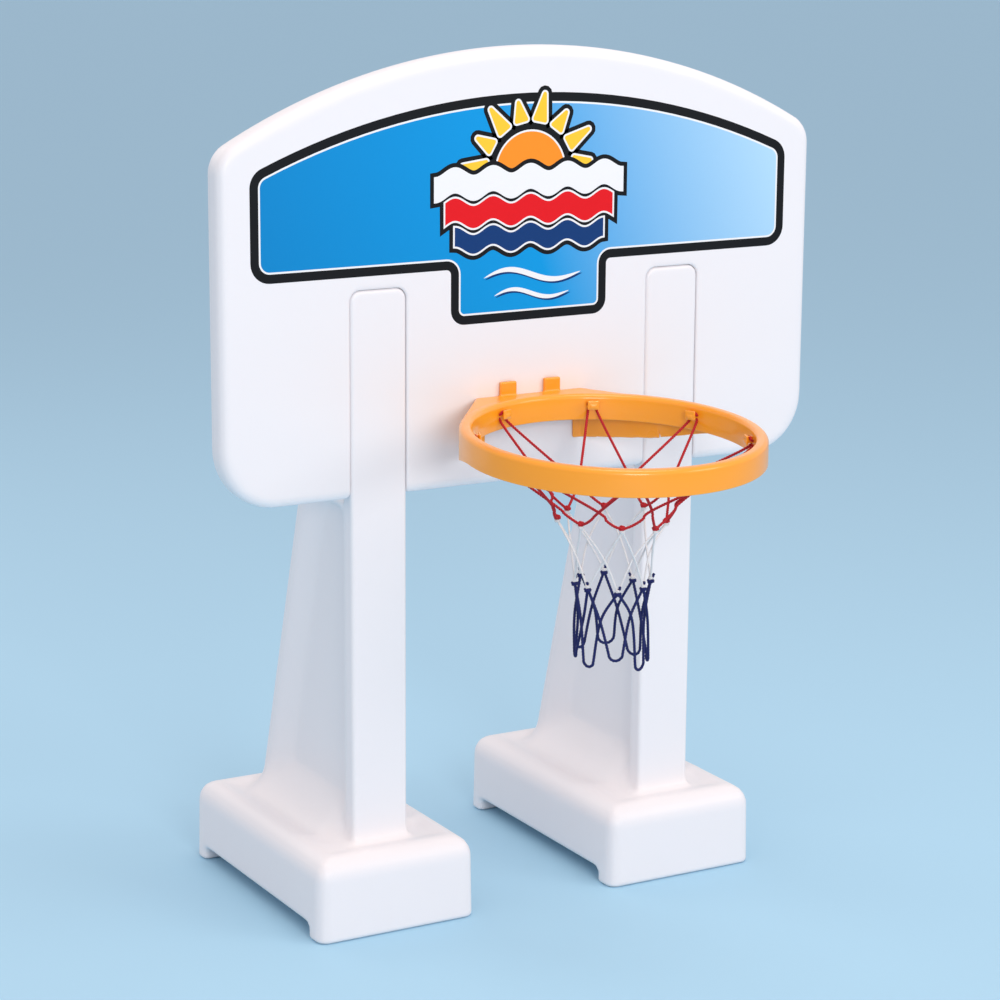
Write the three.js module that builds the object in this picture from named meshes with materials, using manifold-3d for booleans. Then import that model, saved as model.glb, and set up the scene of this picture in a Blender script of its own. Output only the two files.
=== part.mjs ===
// Poolside basketball hoop: two hollow stands with T-shaped posts, a hollow arched backboard that drops
// over the posts, a hooked-on rim with a three-colour net, and a screwed fill plug with a seal in each base.
// Millimetres, +Z up. The board's playing face looks along -Y and lies at y = 0 in the inner group.
// The exported group moves that frame back, so that its origin is on the floor under the whole's middle.
import * as THREE from "three";
import { mergeVertices } from "three/addons/utils/BufferGeometryUtils.js";
import Module from "manifold-3d";

// Backboard
const boardWidth = 800;
const boardBottom = 521;
const boardHeight = 517;
const boardArchRadius = 785;
const boardTopRound = 38;
const boardLowerRound = 72;
const boardDepth = 36;
const boardEdgeRound = 12;
const boardWall = 3;

// Slots in the board and the posts that fill them
const postSpacing_share = 0.5;
const postWidth = 72.5;
const slotHeight_share = 0.4758;
const postTopRound = 13;
const postEdgeRound = 4;
const columnDepth = 22;
const upperWebWidth = 44;
const slotClearance = 0.5;

// Decal on the board
const decalThickness = 0.4;
const decalSideMargin = 39;
const decalTopMargin = 54;
const decalArchRadius = 880;
const decalRound = 24;
const decalSlotGap = 16;
const decalTabWidth = 211;
const decalTabDrop_share = 0.2683;
const decalTabRound = 18;
const decalInnerRound = 6;

// Stand: base
const baseWidth = 210;
const baseHeight = 103;
const baseAhead = 48.4;
const baseBehind = 315;
const baseCornerRound = 15;
const baseTopRound = 26;
const baseFootRound = 4;
const frontFootDepth = 33;
const rearFootDepth = 28;
const tunnelHeight = 18;
const tunnelRound = 10;
const standWall = 3;

// Stand: web behind the post, with a recess in each side
const webRearAtBase = 266;
const webRearAtBoard = 144;
const webStep = 1;
const webRearRound = 9;
const webTopDrop = 6;
const shoulderDrop = 3;
const shoulderRound = 6;
const flareRadius = 22;
const recessDepth = 17;
const recessRib = 22;
const recessRearSlope = 48;
const recessEndSlope = 10;
const recessFrontSlope = 3;
const recessAboveFlare = 6;
const recessBelowShoulder = 10;
const recessRound = 18;

// Fill plug and its seal, in a round pocket in the rear of each base
const plugHeight = 48;
const pocketRadius = 25;
const pocketDepth = 13;
const fillHoleRadius = 14;
const collarWall = 3.5;
const collarLength = 14;
const threadClearance = 0.7;
const plugNeckLength = 12;
const plugNeckWall = 2.5;
const plugFlangeRadius = 20.5;
const plugFlangeThickness = 4;
const plugGripLength = 33;
const plugGripWidth = 5;
const plugGripHeight = 5;
const sealThickness = 2.4;
const sealWidth = 5.5;

// Rim: ring, bracket and hooks
const ringRadius = 176;
const ringThickness = 15;
const ringHeight = 30.5;
const ringLipRound = 5;
const rimWall = 3;
const rimTop_share = 0.447;
const neckGap = 18;
const droopSlope_share = 0.06;
const bracketWidth = 144;
const bracketRound = 6;
const plateDrop = 2.5;
const gussetDepth = 63;
const gussetRise = 10;
const gussetRound = 26;
const gussetFlange = 12;
const gussetReach_share = 0.92;
const lugSpacing = 60;
const lugWidth = 20;
const lugThickness = 4;
const lugHeight = 14;
const hookWidth = 14;
const hookNeckHeight = 5;
const hookLipThickness = 3;
const hookLipDrop = 12;
const upperHookDrop = 6;
const lowerHookRise = 2;
const lowerHookSpacing = 91;

// Net clips inside the ring
const clipCount = 8;
const clipDrop = 13;
const clipNeckWidth = 7;
const clipNeckHeight = 4;
const clipReach = 9;
const clipLipWidth = 14;
const clipLipHeight = 11;
const clipLipThickness = 2.5;
const clipLipRise = 1.5;

// Net: cord sizes, and the rows of knots as drops below the ring's top and radii round its axis
const redCordRadius = 1.8;
const whiteCordRadius = 1.4;
const blueCordRadius = 1.9;
const clipLegDrop = 8;
const redCrossDrop = 77;
const redCrossRadius = 79;
const redEndDrop = 105;
const redEndRadius = 61;
const whiteCrossDrop = 140;
const whiteCrossRadius = 48;
const whiteEndDrop = 181;
const whiteEndRadius = 44;
const blueCrossDrop = 217;
const blueCrossRadius = 41;
const loopDrop = 269;
const loopRadius = 43;
const loopHalfWidth = 9;
const knot_share = 1.6;

// Clearances and overruns
const seatGap = 0.3;
const overrun = 4;
const leastRound = 0.5;

// Counts
const arcSteps = 4;
const cornerSteps = 3;
const archSteps = 14;
const ringSteps = 40;
const discSteps = 20;
const cordSides = 5;
const loopTurnSteps = 2;
const stemSteps = 1;

const halfTurn = Math.PI;
const quarterTurn = Math.PI / 2;

// Places worked out from the sizes above. The posts follow the board's width, and the slots its height.
const postSpacing = postSpacing_share * boardWidth;
const slotHeight = slotHeight_share * boardHeight;
const decalTabDrop = decalTabDrop_share * slotHeight;
const rimTop = boardBottom + rimTop_share * slotHeight;
const postTop = boardBottom + slotHeight - seatGap;
const shoulderTop = boardBottom - shoulderDrop;
const webSlope = (webRearAtBoard - webRearAtBase) / (boardBottom - baseHeight);
const ringCentreY = -(neckGap + ringRadius);
const ringTopAtCentre = rimTop + droopSlope_share * ringCentreY;
const ringInnerRadius = ringRadius - ringThickness;
const hookBackY = boardWall + seatGap;
const upperHookZ = rimTop - upperHookDrop;
const lowerHookZ = rimTop - plateDrop - ringHeight + lowerHookRise;
const originY = (ringRadius - ringCentreY - baseBehind) / 2;

// How far a knot of unit radius reaches straight up or down.
const unitKnot = new THREE.IcosahedronGeometry(1, 0);
unitKnot.computeBoundingBox();
const knotPole_share = knot_share * unitKnot.boundingBox.max.z;

const wasm = await Module();
wasm.setup();

// A closed three.js geometry as a solid for joining and cutting.
function solid(geometry) {
  const bare = new THREE.BufferGeometry();
  bare.setAttribute("position", geometry.getAttribute("position"));
  bare.setIndex(geometry.getIndex());
  const merged = mergeVertices(bare);
  return new wasm.Manifold(
    new wasm.Mesh({
      numProp: 3,
      vertProperties: merged.attributes.position.array,
      triVerts: new Uint32Array(merged.index.array),
    }),
  );
}

// A solid as a named mesh with its own material.
function part(name, made, colour, roughness) {
  const mesh = made.getMesh();
  const geometry = new THREE.BufferGeometry();
  geometry.setAttribute("position", new THREE.BufferAttribute(mesh.vertProperties, mesh.numProp));
  geometry.setIndex(new THREE.BufferAttribute(mesh.triVerts, 1));
  geometry.computeVertexNormals();
  const material = new THREE.MeshStandardMaterial({ color: colour, roughness, metalness: 0 });
  const named = new THREE.Mesh(geometry, material);
  named.name = name;
  return named;
}

function join(solids) {
  return solids.reduce((sum, next) => sum.add(next));
}

function cut(body, tools) {
  return tools.reduce((rest, tool) => rest.subtract(tool), body);
}

// Points of an arc round a centre, both ends included.
function arc(centreU, centreV, radius, from, to, steps) {
  const points = [];
  for (let i = 0; i <= steps; i++) {
    const angle = from + ((to - from) * i) / steps;
    points.push(
      new THREE.Vector2(centreU + radius * Math.cos(angle), centreV + radius * Math.sin(angle)),
    );
  }
  return points;
}

// An outline of straight sides whose corners, each [u, v, radius], are rounded by arcs.
function rounded(corners, steps) {
  return corners.flatMap(([u, v, radius], i) => {
    const corner = new THREE.Vector2(u, v);
    const before = corners[(i + corners.length - 1) % corners.length];
    const after = corners[(i + 1) % corners.length];
    const back = new THREE.Vector2(before[0] - u, before[1] - v);
    const on = new THREE.Vector2(after[0] - u, after[1] - v);
    const room = Math.min(back.length(), on.length()) / 2;
    back.normalize();
    on.normalize();
    const halfAngle = Math.acos(THREE.MathUtils.clamp(back.dot(on), -1, 1)) / 2;
    const reach = Math.min(radius / Math.tan(halfAngle), room * (1 - 1e-3));
    const round = reach * Math.tan(halfAngle);
    const middle = back.clone().add(on).normalize();
    const centre = corner.clone().addScaledVector(middle, round / Math.sin(halfAngle));
    const first = corner.clone().addScaledVector(back, reach).sub(centre).angle();
    const last = corner.clone().addScaledVector(on, reach).sub(centre).angle();
    const sweep = THREE.MathUtils.euclideanModulo(last - first + halfTurn, 2 * halfTurn) - halfTurn;
    return arc(centre.x, centre.y, round, first, first + sweep, steps);
  });
}

function rectangle(u0, u1, v0, v1, radius) {
  return [
    [u0, v0, radius],
    [u1, v0, radius],
    [u1, v1, radius],
    [u0, v1, radius],
  ];
}

// The axis that a loft runs along, and how its outline's two coordinates lie across it.
const across = {
  x: (u, v, w) => [w, u, v],
  y: (u, v, w) => [v, w, u],
  z: (u, v, w) => [u, v, w],
};

// A solid skinned over outlines with equal numbers of points, in rising order along the axis.
function loft(axis, rings) {
  const count = rings[0].outline.length;
  const positions = [];
  const index = [];
  for (const { at, outline } of rings) {
    for (const p of outline) {
      positions.push(...across[axis](p.x, p.y, at));
    }
  }
  rings.slice(1).forEach((_, level) => {
    for (let j = 0; j < count; j++) {
      const a = level * count + j;
      const b = level * count + ((j + 1) % count);
      index.push(a, b, b + count, a, b + count, a + count);
    }
  });
  for (const [level, facing] of [[0, -1], [rings.length - 1, 1]]) {
    const { at, outline } = rings[level];
    const middle = outline.reduce((sum, p) => sum.add(p), new THREE.Vector2()).divideScalar(count);
    const hub = positions.length / 3;
    positions.push(...across[axis](middle.x, middle.y, at));
    for (let j = 0; j < count; j++) {
      const a = level * count + j;
      const b = level * count + ((j + 1) % count);
      index.push(hub, ...(facing > 0 ? [a, b] : [b, a]));
    }
  }
  const geometry = new THREE.BufferGeometry();
  geometry.setAttribute("position", new THREE.Float32BufferAttribute(positions, 3));
  geometry.setIndex(index);
  return solid(geometry);
}

// A solid of one outline between two places on an axis.
function prism(axis, outline, from, to) {
  return loft(axis, [{ at: from, outline }, { at: to, outline }]);
}

function box(x0, x1, y0, y1, z0, z1) {
  const geometry = new THREE.BoxGeometry(x1 - x0, y1 - y0, z1 - z0);
  geometry.translate((x0 + x1) / 2, (y0 + y1) / 2, (z0 + z1) / 2);
  return solid(geometry);
}

// A plate of any outline in the board's plane, from y = front back by its depth, with rounded edges.
function plate(outline, front, depth, edgeRound) {
  const bevel = {
    bevelEnabled: edgeRound > 0,
    bevelThickness: edgeRound,
    bevelSize: edgeRound,
    bevelOffset: -edgeRound,
    bevelSegments: cornerSteps,
  };
  const geometry = new THREE.ExtrudeGeometry(new THREE.Shape(outline), {
    depth: depth - 2 * edgeRound,
    ...bevel,
  });
  geometry.rotateX(quarterTurn);
  geometry.translate(0, front + depth - edgeRound, 0);
  return solid(geometry);
}

// The arched top of a board or decal: the right corner, the arch and the left corner.
function archedTop(halfWidth, top, archRadius, cornerRadius) {
  const centreZ = top - archRadius;
  const cornerX = halfWidth - cornerRadius;
  const cornerZ = centreZ + Math.sqrt((archRadius - cornerRadius) ** 2 - cornerX ** 2);
  const lean = Math.atan2(cornerZ - centreZ, cornerX);
  return [
    ...arc(cornerX, cornerZ, cornerRadius, 0, lean, arcSteps),
    ...arc(0, centreZ, archRadius, lean, halfTurn - lean, archSteps).slice(1, -1),
    ...arc(-cornerX, cornerZ, cornerRadius, halfTurn - lean, halfTurn, arcSteps),
  ];
}

// The board's outline, drawn in by an inset all round.
function boardOutline(inset) {
  const halfWidth = boardWidth / 2 - inset;
  const lower = boardLowerRound - inset;
  const cornerX = halfWidth - lower;
  const bottom = boardBottom + inset;
  return [
    ...arc(-cornerX, bottom + lower, lower, halfTurn, halfTurn + quarterTurn, arcSteps),
    ...arc(cornerX, bottom + lower, lower, -quarterTurn, 0, arcSteps),
    ...archedTop(
      halfWidth,
      boardBottom + boardHeight - inset,
      boardArchRadius - inset,
      boardTopRound - inset,
    ),
  ];
}

// The space of one slot, a T in plan, grown by a margin: what the post and its web slide into.
function slotSpace(x, margin) {
  const side = slotClearance + margin;
  const head = rectangle(
    boardBottom - overrun - boardLowerRound,
    boardBottom + slotHeight + margin,
    x - postWidth / 2 - side,
    x + postWidth / 2 + side,
    postTopRound + side,
  );
  const stem = rectangle(
    boardBottom - overrun - boardLowerRound,
    boardBottom + slotHeight + margin,
    x - upperWebWidth / 2 - side,
    x + upperWebWidth / 2 + side,
    leastRound,
  );
  return join([
    prism("y", rounded(head, arcSteps), -overrun, columnDepth + side),
    prism("y", rounded(stem, stemSteps), columnDepth / 2, boardDepth + overrun),
  ]);
}

// The windows in the front skin that the rim's hooks pass, tall enough for a hook that is lifted.
function hookWindows() {
  const half = hookWidth / 2 + slotClearance;
  const places = [
    [lugSpacing / 2, upperHookZ],
    [lowerHookSpacing / 2, lowerHookZ],
  ];
  return places.flatMap(([x, z]) =>
    [-x, x].map((centre) =>
      box(
        centre - half,
        centre + half,
        -overrun,
        boardWall + overrun,
        z - slotClearance,
        z + hookNeckHeight + hookLipDrop + slotClearance,
      ),
    ),
  );
}

function backboard() {
  const outer = plate(boardOutline(0), 0, boardDepth, boardEdgeRound);
  const inner = plate(
    boardOutline(boardWall),
    boardWall,
    boardDepth - 2 * boardWall,
    boardEdgeRound - boardWall,
  );
  const sides = [-postSpacing / 2, postSpacing / 2];
  const hollow = cut(inner, sides.map((x) => slotSpace(x, boardWall)));
  return cut(outer, [hollow, ...sides.map((x) => slotSpace(x, 0)), ...hookWindows()]);
}

function decal() {
  const halfWidth = boardWidth / 2 - decalSideMargin;
  const bottom = boardBottom + slotHeight + decalSlotGap;
  const tab = decalTabWidth / 2;
  const lowerCorners = [
    [-halfWidth, bottom, decalRound],
    [-tab, bottom, decalInnerRound],
    [-tab, bottom - decalTabDrop, decalTabRound],
    [tab, bottom - decalTabDrop, decalTabRound],
    [tab, bottom, decalInnerRound],
    [halfWidth, bottom, decalRound],
  ];
  const upperCorners = [
    [halfWidth, bottom + 2 * decalRound, 0],
    [-halfWidth, bottom + 2 * decalRound, 0],
  ];
  const lowerPoints = lowerCorners.length * (arcSteps + 1);
  const lower = rounded([...lowerCorners, ...upperCorners], arcSteps).slice(0, lowerPoints);
  const top = boardBottom + boardHeight - decalTopMargin;
  const outline = [...lower, ...archedTop(halfWidth, top, decalArchRadius, decalRound)];
  return plate(outline, -decalThickness, decalThickness, 0);
}

// How far back the web's rear edge lies at a height.
function webRear(z) {
  return webRearAtBase + webSlope * (z - baseHeight);
}

// The base as a block drawn in by an inset, with a softly rounded top and small-edged feet.
function baseBlock(inset) {
  const topRound = baseTopRound - inset;
  const footRound = Math.max(baseFootRound - inset, leastRound);
  const bottom = inset;
  const top = baseHeight - inset;
  const ring = (z, drawnIn) => ({
    at: z,
    outline: rounded(
      rectangle(
        -baseWidth / 2 + inset + drawnIn,
        baseWidth / 2 - inset - drawnIn,
        -baseAhead + inset + drawnIn,
        baseBehind - inset - drawnIn,
        Math.max(baseCornerRound - inset - drawnIn, leastRound),
      ),
      arcSteps,
    ),
  });
  const rings = [];
  for (const p of arc(0, 0, footRound, 0, quarterTurn, cornerSteps)) {
    rings.push(ring(bottom + footRound - p.x, footRound - p.y));
  }
  for (const p of arc(0, 0, topRound, 0, quarterTurn, arcSteps)) {
    rings.push(ring(top - topRound + p.y, topRound - p.x));
  }
  return loft("z", rings);
}

// The tunnel under the base that leaves a foot at each end, grown by a margin.
function tunnel(margin) {
  const outline = rounded(
    rectangle(
      -baseAhead + frontFootDepth - margin,
      baseBehind - rearFootDepth + margin,
      -tunnelHeight - overrun,
      tunnelHeight + margin,
      tunnelRound + margin,
    ),
    cornerSteps,
  );
  const reach = baseWidth / 2 + overrun;
  return prism("x", outline, -reach, reach);
}

// The soft flare where post and web grow out of the base.
function flare() {
  const ring = (z, out) => ({
    at: z,
    outline: rounded(
      rectangle(
        -postWidth / 2 - out,
        postWidth / 2 + out,
        -out,
        webRear(z) + out,
        postEdgeRound + out + leastRound,
      ),
      arcSteps,
    ),
  });
  const rings = [ring(baseHeight - standWall, flareRadius)];
  for (const p of arc(0, 0, flareRadius, 0, quarterTurn, arcSteps)) {
    rings.push(ring(baseHeight + flareRadius - p.x, flareRadius - p.y));
  }
  rings.push(ring(baseHeight + flareRadius + standWall, -standWall));
  return loft("z", rings);
}

// The post's front column, drawn in by an inset: its face fills the board's slot.
function column(inset) {
  const bottom = baseHeight / 2;
  const front = inset;
  const edge = Math.max(postEdgeRound - inset, leastRound);
  const ring = (y, drawnIn) => ({
    at: y,
    outline: rounded(
      rectangle(
        bottom,
        postTop - inset - drawnIn,
        -postWidth / 2 + inset + drawnIn,
        postWidth / 2 - inset - drawnIn,
        Math.max(postTopRound - inset - drawnIn, leastRound),
      ),
      arcSteps,
    ),
  });
  const rings = arc(0, 0, edge, 0, quarterTurn, cornerSteps).map((p) =>
    ring(front + edge - p.x, edge - p.y),
  );
  rings.push(ring(columnDepth - inset, 0));
  return loft("y", rings);
}

// The web as a block from inside the column to its sloping rear edge.
function webBlock(halfWidth, inset, from, to, topRound) {
  const top = to - inset;
  const ring = (z, drawnIn) => ({
    at: z,
    outline: rounded(
      [
        [-halfWidth + inset + drawnIn, columnDepth / 2, leastRound],
        [halfWidth - inset - drawnIn, columnDepth / 2, leastRound],
        [halfWidth - inset - drawnIn, webRear(z) - inset - drawnIn, webRearRound],
        [-halfWidth + inset + drawnIn, webRear(z) - inset - drawnIn, webRearRound],
      ],
      cornerSteps,
    ),
  });
  const rings = [ring(from, 0)];
  for (const p of arc(0, 0, topRound, 0, quarterTurn, cornerSteps)) {
    rings.push(ring(top - topRound + p.y, topRound - p.x));
  }
  return loft("z", rings);
}

function webs(inset) {
  return join([
    webBlock(postWidth / 2 - webStep, inset, baseHeight / 2, shoulderTop, shoulderRound),
    webBlock(upperWebWidth / 2, inset, shoulderTop - slotHeight / 2, postTop - webTopDrop, shoulderRound),
  ]);
}

// The recess in one side of the web, grown by a margin. Side is -1 or 1.
function recess(side, margin) {
  const low = baseHeight + flareRadius + recessAboveFlare - margin;
  const high = shoulderTop - recessBelowShoulder + margin;
  const rearStretch = Math.hypot(recessRearSlope, recessDepth) / recessDepth;
  const outline = (drawnIn_share) => {
    const ends = recessEndSlope * drawnIn_share;
    const rear = recessRib + recessRearSlope * drawnIn_share - margin * rearStretch;
    const front = columnDepth + recessFrontSlope * drawnIn_share - margin + leastRound;
    return rounded(
      [
        [front, low + ends, recessRound],
        [webRear(low) - rear, low + ends, recessRound],
        [webRear(high) - rear, high - ends, recessRound],
        [front, high - ends, recessRound],
      ],
      arcSteps,
    );
  };
  const face = postWidth / 2 - webStep;
  const rings = [
    { at: side * (face + overrun), outline: outline(-overrun / recessDepth) },
    { at: side * (face - recessDepth - margin), outline: outline(1) },
  ];
  rings.sort((a, b) => a.at - b.at);
  return loft("x", rings);
}

// A round bar along Y in the stand, round the plug's axis.
function plugDisc(radius, from, to) {
  const geometry = new THREE.CylinderGeometry(radius, radius, to - from, discSteps);
  geometry.translate(0, (from + to) / 2, plugHeight);
  return solid(geometry);
}

function stand() {
  const pocketFloor = baseBehind - pocketDepth;
  const collarEnd = pocketFloor - standWall - collarLength;
  const outer = join([baseBlock(0), flare(), column(0), webs(0)]);
  const body = cut(outer, [recess(-1, 0), recess(1, 0), tunnel(0)]);
  const hollow = cut(join([baseBlock(standWall), column(standWall), webs(standWall)]), [
    recess(-1, standWall),
    recess(1, standWall),
    tunnel(standWall),
    plugDisc(pocketRadius + standWall, pocketFloor - standWall, baseBehind),
  ]);
  const collar = plugDisc(fillHoleRadius + collarWall, collarEnd, pocketFloor - standWall / 2);
  return cut(join([cut(body, [hollow]), collar]), [
    plugDisc(pocketRadius, pocketFloor, baseBehind + overrun),
    plugDisc(fillHoleRadius, collarEnd - overrun, baseBehind),
  ]);
}

// A ring or disc turned round the plug's axis from a profile of [radius, y] points.
function plugTurned(profile) {
  const geometry = new THREE.LatheGeometry(
    profile.map(([radius, y]) => new THREE.Vector2(radius, y)),
    discSteps,
  );
  geometry.translate(0, 0, plugHeight);
  return solid(geometry);
}

function plugSeal() {
  const inner = fillHoleRadius - threadClearance + seatGap;
  const outer = inner + sealWidth;
  const low = baseBehind - pocketDepth + seatGap;
  const high = low + sealThickness;
  return plugTurned([
    [inner, low],
    [outer, low],
    [outer, high],
    [inner, high],
    [inner, low],
  ]);
}

function fillPlug() {
  const neck = fillHoleRadius - threadClearance;
  const under = baseBehind - pocketDepth + sealThickness + 2 * seatGap;
  const face = under + plugFlangeThickness;
  const tip = under - plugNeckLength - sealThickness;
  const turned = plugTurned([
    [0, under],
    [neck - plugNeckWall, under],
    [neck - plugNeckWall, tip],
    [neck, tip],
    [neck, under],
    [plugFlangeRadius, under],
    [plugFlangeRadius, face],
    [0, face],
  ]);
  const grip = box(
    -plugGripLength / 2,
    plugGripLength / 2,
    face - plugFlangeThickness / 2,
    face + plugGripHeight,
    plugHeight - plugGripWidth / 2,
    plugHeight + plugGripWidth / 2,
  );
  return join([turned, grip]);
}

// A round bar along Z at the ring's centre.
function ringDisc(radius, from, to) {
  return prism("z", arc(0, ringCentreY, radius, 0, 2 * halfTurn, ringSteps).slice(1), from, to);
}

// The ring: an upturned channel with a rounded lip, turned round the ring's axis.
function ring() {
  const low = rimTop - ringHeight;
  const lip = ringLipRound;
  const profile = [
    ...arc(ringRadius - lip, rimTop - lip, lip, 0, quarterTurn, cornerSteps),
    ...arc(ringInnerRadius + lip, rimTop - lip, lip, quarterTurn, halfTurn, cornerSteps),
    new THREE.Vector2(ringInnerRadius, low),
    new THREE.Vector2(ringInnerRadius + rimWall, low),
    new THREE.Vector2(ringInnerRadius + rimWall, rimTop - rimWall),
    new THREE.Vector2(ringRadius - rimWall, rimTop - rimWall),
    new THREE.Vector2(ringRadius - rimWall, low),
    new THREE.Vector2(ringRadius, low),
  ];
  profile.push(profile[0].clone());
  const geometry = new THREE.LatheGeometry(profile, ringSteps);
  geometry.rotateX(quarterTurn);
  geometry.translate(0, ringCentreY, 0);
  return solid(geometry);
}

// Where the bracket's right side, drawn in by an inset, touches the ring.
function tangentPoint(inset) {
  const halfBack = bracketWidth / 2 - inset;
  const toBack = -seatGap - inset - ringCentreY;
  const radius = ringRadius - inset;
  const angle = Math.atan2(toBack, halfBack) - Math.acos(radius / Math.hypot(halfBack, toBack));
  return new THREE.Vector2(radius * Math.cos(angle), ringCentreY + radius * Math.sin(angle));
}

// The bracket's outline in plan, drawn in by an inset: its sides run on to the ring at a tangent.
function bracketOutline(inset) {
  const halfBack = bracketWidth / 2 - inset;
  const backY = -seatGap - inset;
  const touch = tangentPoint(inset);
  const round = Math.max(bracketRound - inset, leastRound);
  return rounded(
    [
      [halfBack, backY, round],
      [-halfBack, backY, round],
      [-touch.x, touch.y, leastRound],
      [touch.x, touch.y, leastRound],
    ],
    cornerSteps,
  );
}

// The gussets: the bracket's side walls carried on below it, deepest against the board.
function gussets() {
  const top = rimTop - ringHeight + 2 * leastRound;
  const low = rimTop - gussetDepth;
  const front = gussetReach_share * tangentPoint(0).y;
  const half = bracketWidth / 2 - gussetFlange;
  const underEdge = rounded(
    [
      [overrun, low, 0],
      [front, low + gussetRise, gussetRound],
      [front, top, 0],
      [ringCentreY, top, 0],
      [ringCentreY, low - overrun, 0],
      [overrun, low - overrun, 0],
    ],
    cornerSteps,
  );
  return cut(prism("z", bracketOutline(0), low, top), [
    prism("z", bracketOutline(rimWall), low - overrun, top + overrun),
    prism("x", underEdge, -ringRadius, ringRadius),
    box(-half, half, -seatGap - rimWall - overrun, overrun, low - overrun, rimTop - ringHeight),
  ]);
}

// The bracket: a plate with walls at its back and sides, open below, and a gusset at each side.
function bracket() {
  const top = rimTop - plateDrop;
  const low = rimTop - ringHeight + leastRound;
  const shell = prism("z", bracketOutline(0), low, top);
  const walls = cut(shell, [
    prism("z", bracketOutline(rimWall), low - overrun, top - rimWall),
    ringDisc(ringRadius - rimWall / 2, low - overrun, top + overrun),
  ]);
  return join([walls, gussets()]);
}

// Lowers every point in front of the board in step with its distance, as the rim droops.
function droop(made) {
  const mesh = made.getMesh();
  const geometry = new THREE.BufferGeometry();
  geometry.setAttribute("position", new THREE.BufferAttribute(mesh.vertProperties.slice(), mesh.numProp));
  geometry.setIndex(new THREE.BufferAttribute(mesh.triVerts, 1));
  geometry.applyMatrix4(new THREE.Matrix4().makeShear(0, 0, 0, droopSlope_share, 0, 0));
  return solid(geometry);
}

// A hook through the board's skin at a height, with its lip turned down behind the skin.
function hook(x, z) {
  const half = hookWidth / 2;
  const back = hookBackY + hookLipThickness;
  const neck = box(x - half, x + half, -seatGap - rimWall / 2, back, z, z + hookNeckHeight);
  const lip = box(x - half, x + half, hookBackY, back, z - hookLipDrop + seatGap, z + hookNeckHeight);
  return join([neck, lip]);
}

// A lug that stands up from the bracket's back edge against the board.
function lug(x) {
  return box(
    x - lugWidth / 2,
    x + lugWidth / 2,
    -seatGap - lugThickness,
    -seatGap,
    rimTop - plateDrop - ringHeight / 2,
    rimTop + lugHeight,
  );
}

// The angle of a net clip round the ring.
function clipAngle(i) {
  return ((i + 1 / 2) * 2 * halfTurn) / clipCount;
}

// A frame at a clip: x points inwards from the ring's inner wall, y along it, z up.
function clipFrame(i) {
  const angle = clipAngle(i);
  const centre = new THREE.Vector3(
    ringInnerRadius * Math.cos(angle),
    ringCentreY + ringInnerRadius * Math.sin(angle),
    0,
  );
  centre.z = rimTop + droopSlope_share * centre.y - clipDrop;
  return new THREE.Matrix4().makeRotationZ(angle + halfTurn).setPosition(centre);
}

// A clip: a neck out of the ring's inner wall with a wider lip that keeps the cord on.
function clip(i) {
  const neck = new THREE.BoxGeometry(clipReach + rimWall / 2, clipNeckWidth, clipNeckHeight);
  neck.translate((clipReach - rimWall / 2) / 2, 0, 0);
  const lip = new THREE.BoxGeometry(clipLipThickness, clipLipWidth, clipLipHeight);
  lip.translate(clipReach - clipLipThickness / 2, 0, clipLipRise);
  const frame = clipFrame(i);
  return join([neck, lip].map((geometry) => solid(geometry.applyMatrix4(frame))));
}

function rim() {
  const pieces = [droop(join([ring(), bracket()]))];
  for (const side of [-1, 1]) {
    pieces.push(lug((side * lugSpacing) / 2));
    pieces.push(hook((side * lugSpacing) / 2, upperHookZ));
    pieces.push(hook((side * lowerHookSpacing) / 2, lowerHookZ));
  }
  for (let i = 0; i < clipCount; i++) {
    pieces.push(clip(i));
  }
  return join(pieces);
}

// A cord that bends at each of its points, as rings of a few sides skinned from end to end.
function cord(points, radius) {
  const positions = [];
  const index = [];
  const normal = new THREE.Vector3();
  points.forEach((point, i) => {
    const before = points[Math.max(i - 1, 0)];
    const after = points[Math.min(i + 1, points.length - 1)];
    const along = after.clone().sub(before).normalize();
    if (i === 0) {
      normal.set(0, 0, 1).cross(along);
    }
    normal.addScaledVector(along, -normal.dot(along)).normalize();
    const other = along.clone().cross(normal);
    for (const p of arc(0, 0, radius, 0, 2 * halfTurn, cordSides).slice(1)) {
      const onRing = point.clone().addScaledVector(normal, p.x).addScaledVector(other, p.y);
      positions.push(...onRing.toArray());
    }
  });
  const last = (points.length - 1) * cordSides;
  for (let j = 0; j < cordSides; j++) {
    const next = (j + 1) % cordSides;
    for (let base = 0; base < last; base += cordSides) {
      const above = base + cordSides;
      index.push(base + j, base + next, above + next, base + j, above + next, above + j);
    }
    if (j > 0 && next > 0) {
      index.push(0, next, j, last, last + j, last + next);
    }
  }
  const geometry = new THREE.BufferGeometry();
  geometry.setAttribute("position", new THREE.Float32BufferAttribute(positions, 3));
  geometry.setIndex(index);
  return solid(geometry);
}

function knot(centre, cordRadius) {
  const geometry = new THREE.IcosahedronGeometry(cordRadius * knot_share, 0);
  geometry.translate(centre.x, centre.y, centre.z);
  return solid(geometry);
}

// A place in a row of the net, counted in half clip steps round the ring's axis.
function netPoint(halfSteps, radius, drop) {
  const angle = (halfSteps * halfTurn) / clipCount;
  return new THREE.Vector3(
    radius * Math.cos(angle),
    ringCentreY + radius * Math.sin(angle),
    ringTopAtCentre - drop,
  );
}

// The middle height of a band's knots, moved off the join with the next band by half a gap.
function offJoin(point, cordRadius, direction) {
  return point.add(new THREE.Vector3(0, 0, direction * (cordRadius * knotPole_share + seatGap / 2)));
}

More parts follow.
